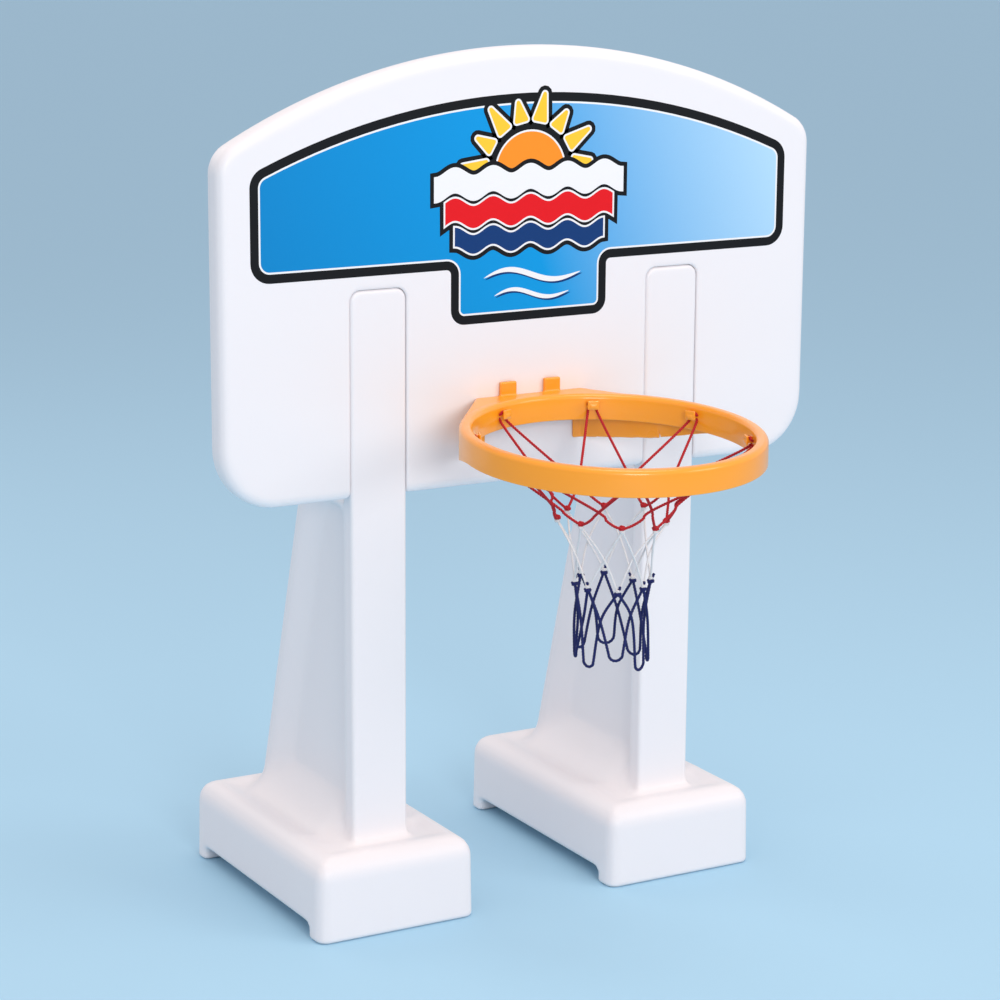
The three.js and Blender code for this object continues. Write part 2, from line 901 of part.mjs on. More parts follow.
// One cord loop over a clip's neck, with its two legs.
function clipLoop(i) {
  const out = (clipReach - clipLipThickness) / 2;
  const reach = 2 * seatGap + redCordRadius;
  const cornerY = clipNeckWidth / 2;
  const cornerZ = clipNeckHeight / 2;
  const places = [
    new THREE.Vector2(cornerY + reach, -clipLegDrop),
    ...arc(cornerY, cornerZ, reach, 0, quarterTurn, loopTurnSteps),
    ...arc(-cornerY, cornerZ, reach, quarterTurn, halfTurn, loopTurnSteps),
    new THREE.Vector2(-cornerY - reach, -clipLegDrop),
  ];
  return places.map((p) => new THREE.Vector3(out, p.x, p.y).applyMatrix4(clipFrame(i)));
}

// One knot at every clip's place in a row.
function knots(row, cordRadius) {
  return Array.from({ length: clipCount }, (_, i) => knot(row(2 * i + 1), cordRadius));
}

// Red: each cord hangs over a clip, crosses its neighbours and ends in the first row of knots.
function netRed() {
  const cross = (n) => netPoint(n, redCrossRadius, redCrossDrop);
  const end = (n) => offJoin(netPoint(n, redEndRadius, redEndDrop), redCordRadius, 1);
  const pieces = knots(end, redCordRadius);
  for (let i = 0; i < clipCount; i++) {
    const path = [end(2 * i - 1), cross(2 * i), ...clipLoop(i), cross(2 * i + 2), end(2 * i + 3)];
    pieces.push(cord(path, redCordRadius));
  }
  return join(pieces);
}

// White: cords run both ways round from the first row of knots, across each other, to the second.
function netWhite() {
  const start = (n) => offJoin(netPoint(n, redEndRadius, redEndDrop), whiteCordRadius, -1);
  const cross = (n) => netPoint(n, whiteCrossRadius, whiteCrossDrop);
  const end = (n) => offJoin(netPoint(n, whiteEndRadius, whiteEndDrop), whiteCordRadius, 1);
  const pieces = [...knots(start, whiteCordRadius), ...knots(end, whiteCordRadius)];
  for (let n = 1; n < 2 * clipCount; n += 2) {
    for (const way of [-1, 1]) {
      pieces.push(cord([start(n), cross(n + way), end(n + 2 * way)], whiteCordRadius));
    }
  }
  return join(pieces);
}

// Blue: each cord drops from the second row of knots, crosses its neighbours, turns in a loop and climbs.
function netBlue() {
  const start = (n) => offJoin(netPoint(n, whiteEndRadius, whiteEndDrop), blueCordRadius, -1);
  const cross = (n) => netPoint(n, blueCrossRadius, blueCrossDrop);
  const pieces = knots(start, blueCordRadius);
  for (let i = 0; i < clipCount; i++) {
    const bottom = netPoint(2 * i + 1, loopRadius, loopDrop);
    const along = netPoint(2 * i + 2, 1, 0).sub(netPoint(2 * i, 1, 0)).normalize();
    const turn = arc(0, loopHalfWidth, loopHalfWidth, halfTurn, 2 * halfTurn, arcSteps).map((p) =>
      bottom.clone().addScaledVector(along, p.x).setZ(bottom.z + p.y),
    );
    pieces.push(
      cord([start(2 * i - 1), cross(2 * i), ...turn, cross(2 * i + 2), start(2 * i + 3)], blueCordRadius),
    );
  }
  return join(pieces);
}

// Colours
const moulded = 0xf3f3f5;
const orange = 0xf7921e;
const printed = 0x1795d3;
const plugGrey = 0xe6e7ea;
const rubberGrey = 0x3c3f44;
const netRedColour = 0xd3222a;
const netWhiteColour = 0xf4f5f7;
const netBlueColour = 0x1f2f80;

const hoop = new THREE.Group();
hoop.position.y = originY;

// The two stands, each with its plug and seal
for (const [side, sign] of [["left", -1], ["right", 1]]) {
  const standGroup = new THREE.Group();
  standGroup.position.x = (sign * postSpacing) / 2;
  standGroup.add(part(side + "_stand", stand(), moulded, 0.42));
  standGroup.add(part(side + "_plug_seal", plugSeal(), rubberGrey, 0.8));
  standGroup.add(part(side + "_fill_plug", fillPlug(), plugGrey, 0.5));
  hoop.add(standGroup);
}

// The board and its decal
hoop.add(part("backboard", backboard(), moulded, 0.42));
hoop.add(part("backboard_decal", decal(), printed, 0.25));

// The rim and its net
hoop.add(part("rim", rim(), orange, 0.3));
hoop.add(part("net_red", netRed(), netRedColour, 0.75));
hoop.add(part("net_white", netWhite(), netWhiteColour, 0.75));
hoop.add(part("net_blue", netBlue(), netBlueColour, 0.75));

const assembly = new THREE.Group();
assembly.add(hoop);

export default assembly;
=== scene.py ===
# Poolside basketball hoop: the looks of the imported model.
# Metres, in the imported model's frame: +Z up, the board's playing face looks along -Y.
import math

import bmesh
import bpy
import numpy as np
from mathutils import Matrix, Vector


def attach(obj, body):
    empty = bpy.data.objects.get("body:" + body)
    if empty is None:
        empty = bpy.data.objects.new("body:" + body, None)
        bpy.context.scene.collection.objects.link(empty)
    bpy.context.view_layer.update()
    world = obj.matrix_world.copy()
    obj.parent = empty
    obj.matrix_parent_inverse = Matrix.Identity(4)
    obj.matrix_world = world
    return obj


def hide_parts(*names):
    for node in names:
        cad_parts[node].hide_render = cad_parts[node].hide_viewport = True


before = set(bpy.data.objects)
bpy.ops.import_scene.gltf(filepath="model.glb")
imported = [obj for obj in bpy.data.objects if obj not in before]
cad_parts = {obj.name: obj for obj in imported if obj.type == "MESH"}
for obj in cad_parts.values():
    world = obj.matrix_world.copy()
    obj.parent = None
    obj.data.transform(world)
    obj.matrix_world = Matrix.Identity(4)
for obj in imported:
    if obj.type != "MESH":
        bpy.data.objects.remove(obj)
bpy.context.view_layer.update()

MM = 0.001
TURN = 2 * math.pi

# Sizes that the modelled pieces share, in millimetres, with y = 0 at the board's playing face
ORIGIN_Y = 27.5
SEAT_GAP = 0.3
BOARD_WIDTH = 800
BOARD_BOTTOM = 521
BOARD_TOP = 1038
BOARD_ARCH_RADIUS = 785
BOARD_TOP_ROUND = 38
BOARD_LOWER_ROUND = 72
BOARD_DEPTH = 36
BOARD_EDGE_ROUND = 12
POST_CENTRE = 200
POST_WIDTH = 72.5
POST_TOP = 766.7
POST_TOP_ROUND = 13
POST_EDGE_ROUND = 4
COLUMN_DEPTH = 22
SLOT_CLEARANCE = 0.5
SLOT_TOP = 767
UPPER_WEB_WIDTH = 44
BASE_WIDTH = 210
BASE_HEIGHT = 103
BASE_FRONT = -48.4
BASE_REAR = 315
BASE_CORNER_ROUND = 15
BASE_TOP_ROUND = 26
BASE_FOOT_ROUND = 4
TUNNEL_FRONT = -15.4
TUNNEL_REAR = 287
TUNNEL_HEIGHT = 18
TUNNEL_ROUND = 10
WEB_REAR_AT_BASE = 266
WEB_REAR_AT_BOARD = 144
WEB_HALF_WIDTH = 35.25
SHOULDER = 518
WEB_TOP = 760.7
RECESS_DEPTH = 17
RECESS_RIB = 22
RECESS_REAR_SLOPE = 48
RECESS_HIGH = 510
RECESS_LOW = 122
PLUG_HEIGHT = 48
POCKET_RADIUS = 25
POCKET_DEPTH = 13
FILL_HOLE_RADIUS = 14
FILL_HOLE_DEPTH = 30

# Ring, bracket, hooks and clips
RING_RADIUS = 176
RING_THICKNESS = 15
RING_HEIGHT = 30.5
RING_CENTRE_Y = -194
RIM_TOP = 631
RIM_WALL = 3
DROOP = 0.06
BRACKET_HALF_BACK = 72
BRACKET_TOP = RIM_TOP - 2.5
GUSSET_LOW = RIM_TOP - 63
GUSSET_RISE = 12
SKIRT_START = math.radians(8)
SKIRT_FULL = math.radians(46)
SKIRT_OVERLAP = math.radians(3)
CLIP_COUNT = 8
CLIP_DROP = 13
CLIP_REACH = 9
CLIP_NECK = (7, 4)
CLIP_LIP = (14, 11, 2.5)

# The camera, solved from points of the photograph against the sizes above, in millimetres and radians
CAMERA_PLACE = (-1723.15, -2979.47, 1294.65)
CAMERA_YAW = 0.5147
CAMERA_PITCH = 0.2278
CAMERA_ROLL = 0.0063
CAMERA_FOCAL_PIXELS = 2939.9
PHOTO_SIDE_PIXELS = 1000
SENSOR_MM = 36


def metres(x, y, z):
    """A point of the hoop's own millimetre frame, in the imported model's metres."""
    return Vector((x * MM, (y + ORIGIN_Y) * MM, z * MM))


def add_camera():
    data = bpy.data.cameras.new("camera")
    data.sensor_width = SENSOR_MM
    data.lens = CAMERA_FOCAL_PIXELS / PHOTO_SIDE_PIXELS * SENSOR_MM
    data.clip_end = 50
    camera = link("camera", data)
    yaw, pitch, roll = CAMERA_YAW, CAMERA_PITCH, CAMERA_ROLL
    ahead = Vector((math.sin(yaw) * math.cos(pitch), math.cos(yaw) * math.cos(pitch), -math.sin(pitch)))
    right = Vector((math.cos(yaw), -math.sin(yaw), 0))
    up = right.cross(ahead)
    right, up = (
        right * math.cos(roll) + up * math.sin(roll),
        up * math.cos(roll) - right * math.sin(roll),
    )
    turn = Matrix((right, up, -ahead)).transposed().to_4x4()
    camera.matrix_world = Matrix.Translation(metres(*CAMERA_PLACE)) @ turn
    bpy.context.scene.camera = camera


def link(name, data):
    piece = bpy.data.objects.new(name, data)
    bpy.context.scene.collection.objects.link(piece)
    return piece


# Outlines: closed rows of points (u, v)
def arc(centre_u, centre_v, radius, start, end, steps):
    angles = np.linspace(start, end, steps + 1)
    return np.stack([centre_u + radius * np.cos(angles), centre_v + radius * np.sin(angles)], 1)


def rounded_outline(corners, steps):
    """A closed outline whose corners, each (u, v, radius), are rounded."""
    points = []
    for i, (u, v, radius) in enumerate(corners):
        corner = np.array((u, v), float)
        back = np.array(corners[i - 1][:2]) - corner
        on = np.array(corners[(i + 1) % len(corners)][:2]) - corner
        back, on = back / np.linalg.norm(back), on / np.linalg.norm(on)
        half_angle = math.acos(np.clip(back @ on, -1, 1)) / 2
        reach = radius / math.tan(half_angle)
        middle = (back + on) / np.linalg.norm(back + on)
        centre = corner + middle * radius / math.sin(half_angle)
        first, last = corner + back * reach - centre, corner + on * reach - centre
        start = math.atan2(first[1], first[0])
        sweep = (math.atan2(last[1], last[0]) - start + math.pi) % TURN - math.pi
        points.append(arc(*centre, radius, start, start + sweep, steps))
    return np.concatenate(points)


def arched_top(half_width, top, arch_radius, corner_radius, steps):
    centre_z = top - arch_radius
    corner_x = half_width - corner_radius
    corner_z = centre_z + math.sqrt((arch_radius - corner_radius) ** 2 - corner_x**2)
    lean = math.atan2(corner_z - centre_z, corner_x)
    return np.concatenate(
        [
            arc(corner_x, corner_z, corner_radius, 0, lean, steps),
            arc(0, centre_z, arch_radius, lean, math.pi - lean, 4 * steps)[1:-1],
            arc(-corner_x, corner_z, corner_radius, math.pi - lean, math.pi, steps),
        ]
    )


def grown(outline, distance):
    """A closed outline moved outwards, or inwards for a negative distance."""
    back = outline - np.roll(outline, 1, 0)
    on = np.roll(outline, -1, 0) - outline
    normals = []
    for edge in (back, on):
        length = np.maximum(np.linalg.norm(edge, axis=1), 1e-9)
        normals.append(np.stack([edge[:, 1], -edge[:, 0]], 1) / length[:, None])
    middle = normals[0] + normals[1]
    spread = np.maximum((middle**2).sum(1) / 2, 0.5)
    area = (outline[:, 0] * np.roll(outline[:, 1], -1) - outline[:, 1] * np.roll(outline[:, 0], -1)).sum()
    return outline + middle / spread[:, None] * distance * math.copysign(1, area)


# Distance fields: shapes given by their distance, in millimetres, negative inside
def box_distance(*axes, radius=0):
    """A box from pairs of (coordinate relative to its middle, half size), with rounded edges."""
    q = [np.abs(value) - half + radius for value, half in axes]
    outside = np.sqrt(sum(np.maximum(part, 0) ** 2 for part in q))
    inside = q[0]
    for part in q[1:]:
        inside = np.maximum(inside, part)
    return outside + np.minimum(inside, 0) - radius


def box_at(places, spans, radius):
    """A rounded box from the middle and the half size on each of its axes."""
    return box_distance(*((at - middle, half) for at, (middle, half) in zip(places, spans)), radius=radius)


def outline_distance(outline, u, v):
    """Signed distance to a closed outline, on a grid of u by v."""
    nearest = np.full(np.broadcast(u, v).shape, np.inf)
    inside = np.zeros(nearest.shape, bool)
    for (u0, v0), (u1, v1) in zip(outline, np.roll(outline, -1, 0)):
        along_u, along_v = u1 - u0, v1 - v0
        length = along_u**2 + along_v**2
        if length < 1e-9:
            continue
        share = np.clip(((u - u0) * along_u + (v - v0) * along_v) / length, 0, 1)
        nearest = np.minimum(nearest, np.hypot(u - u0 - share * along_u, v - v0 - share * along_v))
        if v0 != v1:
            inside ^= ((v0 > v) != (v1 > v)) & (u < u0 + (v - v0) * along_u / along_v)
    return np.where(inside, -nearest, nearest)


def meet(a, b, radius):
    """What two shapes share, with its convex edge rounded."""
    p, q = a + radius, b + radius
    outside = np.sqrt(np.maximum(p, 0) ** 2 + np.maximum(q, 0) ** 2)
    return outside + np.minimum(np.maximum(p, q), 0) - radius


def smooth_join(a, b, reach):
    share = np.clip(0.5 + 0.5 * (b - a) / reach, 0, 1)
    return b * (1 - share) + a * share - reach * share * (1 - share)


def smooth_meet(a, b, reach):
    return -smooth_join(-a, -b, reach)


def smooth_cut(a, b, reach):
    return smooth_meet(a, -b, reach)


def smooth_step(value, start, end):
    share = np.clip((value - start) / (end - start), 0, 1)
    return share * share * (3 - 2 * share)


def grid_lines(low, high, coarse, *fine_zones):
    """Grid lines from low to high, closer together inside zones of (from, to, spacing)."""
    lines = [low]
    while lines[-1] < high:
        at = lines[-1]
        step = coarse
        for start, end, spacing in fine_zones:
            if at + spacing > start and at < end:
                step = min(step, spacing)
            elif at < start:
                step = min(step, max(spacing, start - at))
        lines.append(at + step)
    return np.array(lines)


def surface(field_of, *axes):
    """The zero surface of a field on a grid of uneven lines: one point for each cell that it crosses."""
    field = field_of(*np.meshgrid(*axes, indexing="ij", sparse=True))
    cells = tuple(n - 1 for n in field.shape)
    total = np.zeros(cells + (3,))
    count = np.zeros(cells)
    crossings = []
    for a in range(3):
        b, c = (a + 1) % 3, (a + 2) % 3
        low = np.moveaxis(np.moveaxis(field, a, 0)[:-1], 0, a)
        high = np.moveaxis(np.moveaxis(field, a, 0)[1:], 0, a)
        at = np.argwhere((low < 0) != (high < 0))
        first, second = low[tuple(at.T)], high[tuple(at.T)]
        points = np.stack([axes[n][at[:, n]] for n in range(3)], 1)
        step = axes[a][at[:, a] + 1] - axes[a][at[:, a]]
        points[:, a] += step * first / (first - second)
        around = []
        for db, dc in ((0, 0), (1, 0), (1, 1), (0, 1)):
            cell = at.copy()
            cell[:, b] -= db
            cell[:, c] -= dc
            around.append(cell)
            np.add.at(total, tuple(cell.T), points)
            np.add.at(count, tuple(cell.T), 1)
        crossings.append((around, first < 0))
    used = count > 0
    number = np.full(cells, -1)
    number[used] = np.arange(used.sum())
    quads = []
    for around, outward in crossings:
        corners = np.stack([number[tuple(cell.T)] for cell in around], 1)
        quads.append(corners[outward])
        quads.append(corners[~outward][:, ::-1])
    return total[used] / count[used][:, None], np.concatenate(quads)


# Meshes
def turned(profile, segments, radius_change=None):
    """A closed profile of (radius, height) points turned round the upright axis."""
    angles = np.arange(segments)[:, None] / segments * TURN
    radius, height = profile[None, :, 0], profile[None, :, 1] + 0 * angles
    if radius_change is not None:
        radius = radius + radius_change(angles, radius, height)
    points = np.stack([radius * np.cos(angles), radius * np.sin(angles), height], -1)
    index = np.arange(segments * len(profile)).reshape(segments, -1)
    beside = np.roll(index, -1, 0)
    quads = np.stack([index, beside, np.roll(beside, -1, 1), np.roll(index, -1, 1)], -1)
    return points.reshape(-1, 3), quads.reshape(-1, 4)


def plate(outline, front, back):
    """A flat plate of an outline (x, z), between two places on y."""
    count = len(outline)
    points = [(x, y, z) for y in (front, back) for x, z in outline]
    sides = [(i, (i + 1) % count, count + (i + 1) % count, count + i) for i in range(count)]
    return np.array(points), [list(range(count)), list(range(2 * count - 1, count - 1, -1)), *sides]


def piece_from(name, shapes, body, node, smooth=True):
    """One object from shapes of points, faces and a material, riding on a body in a node's place."""
    mesh = bmesh.new()
    materials = []
    for points, faces, material in shapes:
        if material not in materials:
            materials.append(material)
        made = [mesh.verts.new(metres(*point)) for point in points]
        added = []
        for face in faces:
            corners = [made[i] for i in face]
            added.append(mesh.faces.new(corners))
            added[-1].smooth = smooth
            added[-1].material_index = materials.index(material)
        bmesh.ops.recalc_face_normals(mesh, faces=added)
    bmesh.ops.remove_doubles(mesh, verts=mesh.verts, dist=1e-6)
    bmesh.ops.dissolve_degenerate(mesh, edges=mesh.edges, dist=1e-7)
    bmesh.ops.triangulate(mesh, faces=[face for face in mesh.faces if len(face.verts) > 4])
    data = bpy.data.meshes.new(name)
    mesh.to_mesh(data)
    mesh.free()
    for material in materials:
        data.materials.append(material)
    place_piece(link(name, data), body, node)


def place_piece(piece, body, node):
    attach(piece, body)
    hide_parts(node)


# Materials and node trees
def feed(tree, node, feeds):
    """Gives a node's inputs plain values, outputs of other nodes, or the first output of a node."""
    for place, source in feeds.items():
        if isinstance(source, bpy.types.Node):
            source = source.outputs[0]
        if isinstance(source, bpy.types.NodeSocket):
            tree.links.new(source, node.inputs[place])
        else:
            node.inputs[place].default_value = source


def add_node(tree, kind, feeds=None, **settings):
    node = tree.nodes.new(kind)
    for key, value in settings.items():
        setattr(node, key, value)
    feed(tree, node, feeds or {})
    return node


def maths(tree, operation, *feeds, kind="ShaderNodeMath"):
    return add_node(tree, kind, dict(enumerate(feeds)), operation=operation)


def new_group(name, kind, inputs, outputs):
    """A node group with its sockets by name and type, what it is given, and its sockets' identifiers."""
    tree = bpy.data.node_groups.new(name, kind)
    sockets = {}
    for way, rows in (("INPUT", inputs), ("OUTPUT", outputs)):
        for label, socket in rows.items():
            made = tree.interface.new_socket(label, in_out=way, socket_type=f"NodeSocket{socket}")
            sockets[label] = made.identifier
    return tree, add_node(tree, "NodeGroupInput").outputs, sockets


def new_material(name, colour, roughness):
    material = bpy.data.materials.new(name)
    material.use_nodes = True
    shader = material.node_tree.nodes["Principled BSDF"]
    feed(material.node_tree, shader, {"Base Color": (*colour, 1), "Roughness": roughness})
    return material, material.node_tree, shader


SKIN_SIZES = ("Ripple size", "Grain size", "Grain share")


def skin_group():
    """The fine unevenness of a moulded surface: a soft ripple and a pebbled grain, and a patchy mask."""
    sockets = (dict.fromkeys(names, "Float") for names in (SKIN_SIZES, ("Height", "Patches")))
    tree, given = new_group("moulded_skin", "ShaderNodeTree", *sockets)[:2]
    place = add_node(tree, "ShaderNodeTexCoord").outputs["Object"]
    ripple, grain = (
        add_node(tree, "ShaderNodeTexNoise", {"Vector": place, "Scale": given[size], "Detail": detail})
        for size, detail in (("Ripple size", 2), ("Grain size", 1))
    )
    height = maths(tree, "MULTIPLY_ADD", grain, given["Grain share"], ripple)
    add_node(tree, "NodeGroupOutput", {"Height": height, "Patches": ripple})
    return tree


SKIN = skin_group()
PLAIN_SKIN = (14, 1100, 0.1)
COAT_ROUGHNESS = 0.12


def moulded(name, colour, roughness, skin=PLAIN_SKIN, depth=0.35, spread=0.06, coat=0, sheen=0.5):
    """Moulded plastic or print: its colour, a slightly patchy gloss and a faint uneven surface."""
    material, tree, shader = new_material(name, colour, roughness)
    skin = add_node(tree, "ShaderNodeGroup", dict(zip(SKIN_SIZES, skin)), node_tree=SKIN).outputs
    bump = add_node(tree, "ShaderNodeBump", {"Strength": depth, "Distance": MM, "Height": skin["Height"]})
    gloss = {"To Min": roughness - spread, "To Max": roughness + spread, "Value": skin["Patches"]}
    looks = {"Specular IOR Level": sheen, "Coat Weight": coat, "Coat Roughness": COAT_ROUGHNESS}
    looks.update({"Normal": bump, "Roughness": add_node(tree, "ShaderNodeMapRange", gloss)})
    feed(tree, shader, looks)
    return material


def printed(name, colour):
    """Ink on vinyl film: a low even sheen with a very faint orange-peel surface."""
    return moulded(name, colour, 0.42, (260, 2500, 0.1), depth=0.04, spread=0.03, sheen=0.2)


def cord_material(name, colour, painted_groove_shade=0.5):
    """Twisted yarn: fuzzy fibres, with painted shade that darkens the colour in the grooves between the
    strands.
    """
    material = moulded(name, colour, 0.75, (900, 5000, 0.6), depth=0.5)
    tree = material.node_tree
    groove = add_node(tree, "ShaderNodeAttribute", attribute_name="Groove").outputs["Fac"]
    # Painted shade: the base colour is scaled down towards the grooves, where the strands would shade each
    # other.
    shade = add_node(tree, "ShaderNodeMapRange", {"Value": groove, "From Min": -1, "To Min": painted_groove_shade})
    tint = add_node(tree, "ShaderNodeVectorMath", {0: colour, "Scale": shade}, operation="SCALE")
    feed(tree, tree.nodes["Principled BSDF"], {"Base Color": tint})
    return material


WHITE_PLASTIC = moulded("white_polyethylene", (0.86, 0.84, 0.86), 0.42)
ORANGE_PLASTIC = moulded("orange_plastic", (1.0, 0.36, 0.012), 0.3, (14, 1100, 0.03), coat=0.4)
PLUG_PLASTIC = moulded("plug_plastic", (0.78, 0.78, 0.8), 0.5, (60, 2500, 0.1))
SEAL_RUBBER = moulded("seal_rubber", (0.04, 0.04, 0.045), 0.75, (90, 3500, 0.1))
PRINT_BLACK = printed("print_black", (0.006, 0.005, 0.006))
PRINT_WHITE = printed("print_white", (0.88, 0.88, 0.89))
PRINT_RED = printed("print_red", (0.78, 0.006, 0.012))
PRINT_ORANGE = printed("print_orange", (0.95, 0.29, 0.02))
PRINT_YELLOW = printed("print_yellow", (0.98, 0.6, 0.04))
PRINT_NAVY = printed("print_navy", (0.004, 0.04, 0.17))
# A cord's third value, where given, sets how light its painted groove shade stays.
RED_CORD = cord_material("red_cord", (0.72, 0.012, 0.022))
WHITE_CORD = cord_material("white_cord", (0.96, 0.96, 0.97), 0.82)
BLUE_CORD = cord_material("blue_cord", (0.006, 0.014, 0.15))


FADE_RISE = 0.35
FADE_START = -0.06
FADE_END = 0.72
FADE_MIDDLE = 0.45
FADE_DEEP = (0.0, 0.23, 0.56, 1)
FADE_MEDIUM = (0.0, 0.31, 0.72, 1)
FADE_PALE = (0.52, 0.76, 0.93, 1)


def add_print_fade(material):
    """The panel's blue: deep on the left, paler towards the right and the top."""
    tree = material.node_tree
    place = add_node(tree, "ShaderNodeTexCoord").outputs["Object"]
    split = add_node(tree, "ShaderNodeSeparateXYZ", {"Vector": place}).outputs
    lean = maths(tree, "MULTIPLY_ADD", split["Z"], FADE_RISE, split["X"])
    reach = {"Value": lean, "From Min": FADE_START, "From Max": FADE_END}
    ramp = add_node(tree, "ShaderNodeValToRGB", {"Fac": add_node(tree, "ShaderNodeMapRange", reach)})
    stops = ramp.color_ramp.elements
    stops[0].position, stops[0].color = 0, FADE_DEEP
    stops[1].position, stops[1].color = 1, FADE_PALE
    stops.new(FADE_MIDDLE).color = FADE_MEDIUM
    feed(tree, tree.nodes["Principled BSDF"], {"Base Color": ramp})
    return material


PRINT_BLUE = add_print_fade(printed("print_blue", (0.0, 0.32, 0.74)))


# Stands: drafts, rounds and the blends between their forms
BASE_DRAFT = 0.02
BASE_DISH = 5
DISH_START = 18
DISH_FULL = 46
SEAM_HEIGHT = 0.35
SEAM_WIDTH = 0.8
SEAM_START = COLUMN_DEPTH + 8
SEAM_FULL = COLUMN_DEPTH + 16
FIT_GAP = 0.4
WEB_REAR_ROUND = 9
UPPER_WEB_ROUND = 7
WEB_TOP_ROUND = 6
RECESS_FRONT_SLOPE = 4
RECESS_LOW_SLOPE = 34
RECESS_HIGH_SLOPE = 12
RECESS_WALL_BLEND = 4
RECESS_END_BLEND = 22
RECESS_FLOOR_BLEND = 3
RECESS_EDGE_BLEND = 1.6
POST_BLEND = 3
BASE_BLEND = 17
WEB_FOOT_BLEND = 45
WEB_FOOT_FRONT = (8, 60)
WEB_FOOT_PAST = 12
WEB_FOOT_FADE = 50
TUNNEL_BLEND = 5
POCKET_BLEND = 3


def seam_ridge(distance):
    """The faint ridge that a mould's parting line leaves."""
    return SEAM_HEIGHT * np.exp(-((distance / SEAM_WIDTH) ** 2))


def web_rear(z):
    slope = (WEB_REAR_AT_BOARD - WEB_REAR_AT_BASE) / (BOARD_BOTTOM - BASE_HEIGHT)
    return WEB_REAR_AT_BASE + slope * (z - BASE_HEIGHT)


def base_field(x, y, z):
    rear = BASE_REAR - FIT_GAP
    middle_y = (BASE_FRONT + rear) / 2
    plan = box_distance((x, BASE_WIDTH / 2), (y - middle_y, rear - middle_y), radius=BASE_CORNER_ROUND)
    dish = BASE_DISH * smooth_step(-plan, DISH_START, DISH_FULL)
    return np.maximum(
        meet(plan + BASE_DRAFT * z, z - BASE_HEIGHT + dish, BASE_TOP_ROUND),
        meet(plan, -z, BASE_FOOT_ROUND),
    )


def column_field(x, y, z):
    low = BASE_HEIGHT / 2
    middle_z = (POST_TOP + low) / 2
    front = box_distance((x, POST_WIDTH / 2), (z - middle_z, POST_TOP - middle_z), radius=POST_TOP_ROUND)
    return meet(front, np.abs(y - COLUMN_DEPTH / 2) - COLUMN_DEPTH / 2, POST_EDGE_ROUND)


def web_field(x, y, z):
    """The web behind the post, with a recess in each side that runs out softly at its lower end."""
    rear = web_rear(z)
    inside = np.maximum(COLUMN_DEPTH / 2 - y, BASE_HEIGHT / 2 - z)

    def wall_up_to(top, half_width, rear_round):
        sides = np.maximum(meet(np.abs(x) - half_width, y - rear, rear_round), inside)
        return meet(sides, z - top, WEB_TOP_ROUND)

    lower = wall_up_to(SHOULDER, WEB_HALF_WIDTH, WEB_REAR_ROUND)
    upper = wall_up_to(WEB_TOP, UPPER_WEB_WIDTH / 2, UPPER_WEB_ROUND)
    into = (WEB_HALF_WIDTH - np.abs(x)) / RECESS_DEPTH
    rear_side = y - rear + RECESS_RIB + RECESS_REAR_SLOPE * into
    front_side = COLUMN_DEPTH + RECESS_FRONT_SLOPE * into - y
    low_end = RECESS_LOW + RECESS_LOW_SLOPE * into - z
    high_end = z - RECESS_HIGH + RECESS_HIGH_SLOPE * into
    sides = smooth_meet(rear_side, front_side, RECESS_WALL_BLEND)
    ends = smooth_meet(low_end, high_end, RECESS_WALL_BLEND)
    floor = WEB_HALF_WIDTH - RECESS_DEPTH - np.abs(x)
    recess = smooth_meet(smooth_meet(sides, ends, RECESS_END_BLEND), floor, RECESS_FLOOR_BLEND)
    return smooth_join(smooth_cut(lower, recess, RECESS_EDGE_BLEND), upper, POST_BLEND)


def stand_field(x, y, z):
    """One stand round x = 0: base with its feet, post, web, parting seam and the plug's pocket."""
    upright = smooth_join(column_field(x, y, z), web_field(x, y, z), POST_BLEND)
    past_post = smooth_step(y, *WEB_FOOT_FRONT)
    beside_web = past_post * smooth_step(web_rear(z) + WEB_FOOT_PAST - y, 0, WEB_FOOT_FADE)
    body = smooth_join(base_field(x, y, z), upright, BASE_BLEND + WEB_FOOT_BLEND * beside_web)
    body = body - seam_ridge(x) * smooth_step(y, SEAM_START, SEAM_FULL)
    middle_y = (TUNNEL_FRONT + TUNNEL_REAR) / 2
    tunnel = box_distance((y - middle_y, TUNNEL_REAR - middle_y), (z, TUNNEL_HEIGHT), radius=TUNNEL_ROUND)
    body = smooth_cut(body, tunnel, TUNNEL_BLEND)
    around = np.hypot(x, z - PLUG_HEIGHT)
    floor = BASE_REAR - POCKET_DEPTH - y
    body = smooth_cut(body, np.maximum(around - POCKET_RADIUS, floor), POCKET_BLEND)
    return np.maximum(body, -np.maximum(around - FILL_HOLE_RADIUS, floor - FILL_HOLE_DEPTH))


def add_stands():
    margin = 5
    half = BASE_WIDTH / 2 + margin
    points, quads = surface(
        stand_field,
        grid_lines(-half, half, 5, (-39, -12, 2.4), (-2.4, 2.4, 0.8), (12, 39, 2.4)),
        grid_lines(BASE_FRONT - margin, BASE_REAR + margin, 4.5, (-3, 26, 2.2), (299, 318, 2.4)),
        grid_lines(-margin, POST_TOP + margin, 4.5, (-3, 26, 2.2), (505, 521, 2.6), (752, 769, 2.4)),
    )
    points[:, 2] = np.maximum(points[:, 2], 0)
    for side, sign in (("left", -1), ("right", 1)):
        shape = (points + (sign * POST_CENTRE, 0, 0), quads, WHITE_PLASTIC)
        piece_from(f"{side}_stand_shell", [shape], "stands", f"{side}_stand")


# Backboard: its slots, the shallow panels of its back and the hooks' windows
BOARD_ARC_STEPS = 14
SLOT_LEAD_IN = 9
SLOT_EDGE_BLEND = 2.4
PANEL_DEPTH = 3
PANEL_MARGIN = 44
PANEL_SLOPE = 8
PANEL_ABOVE_SLOT = 22
PANEL_BESIDE_SLOT = 62
HOOK_PLACE = 30
HOOK_WINDOW = ((0, 7.5), (8.5, 9), (0, 12))
UPPER_HOOK = (HOOK_PLACE, RIM_TOP - 6)
LOWER_HOOK = (45.5, RIM_TOP - 31)


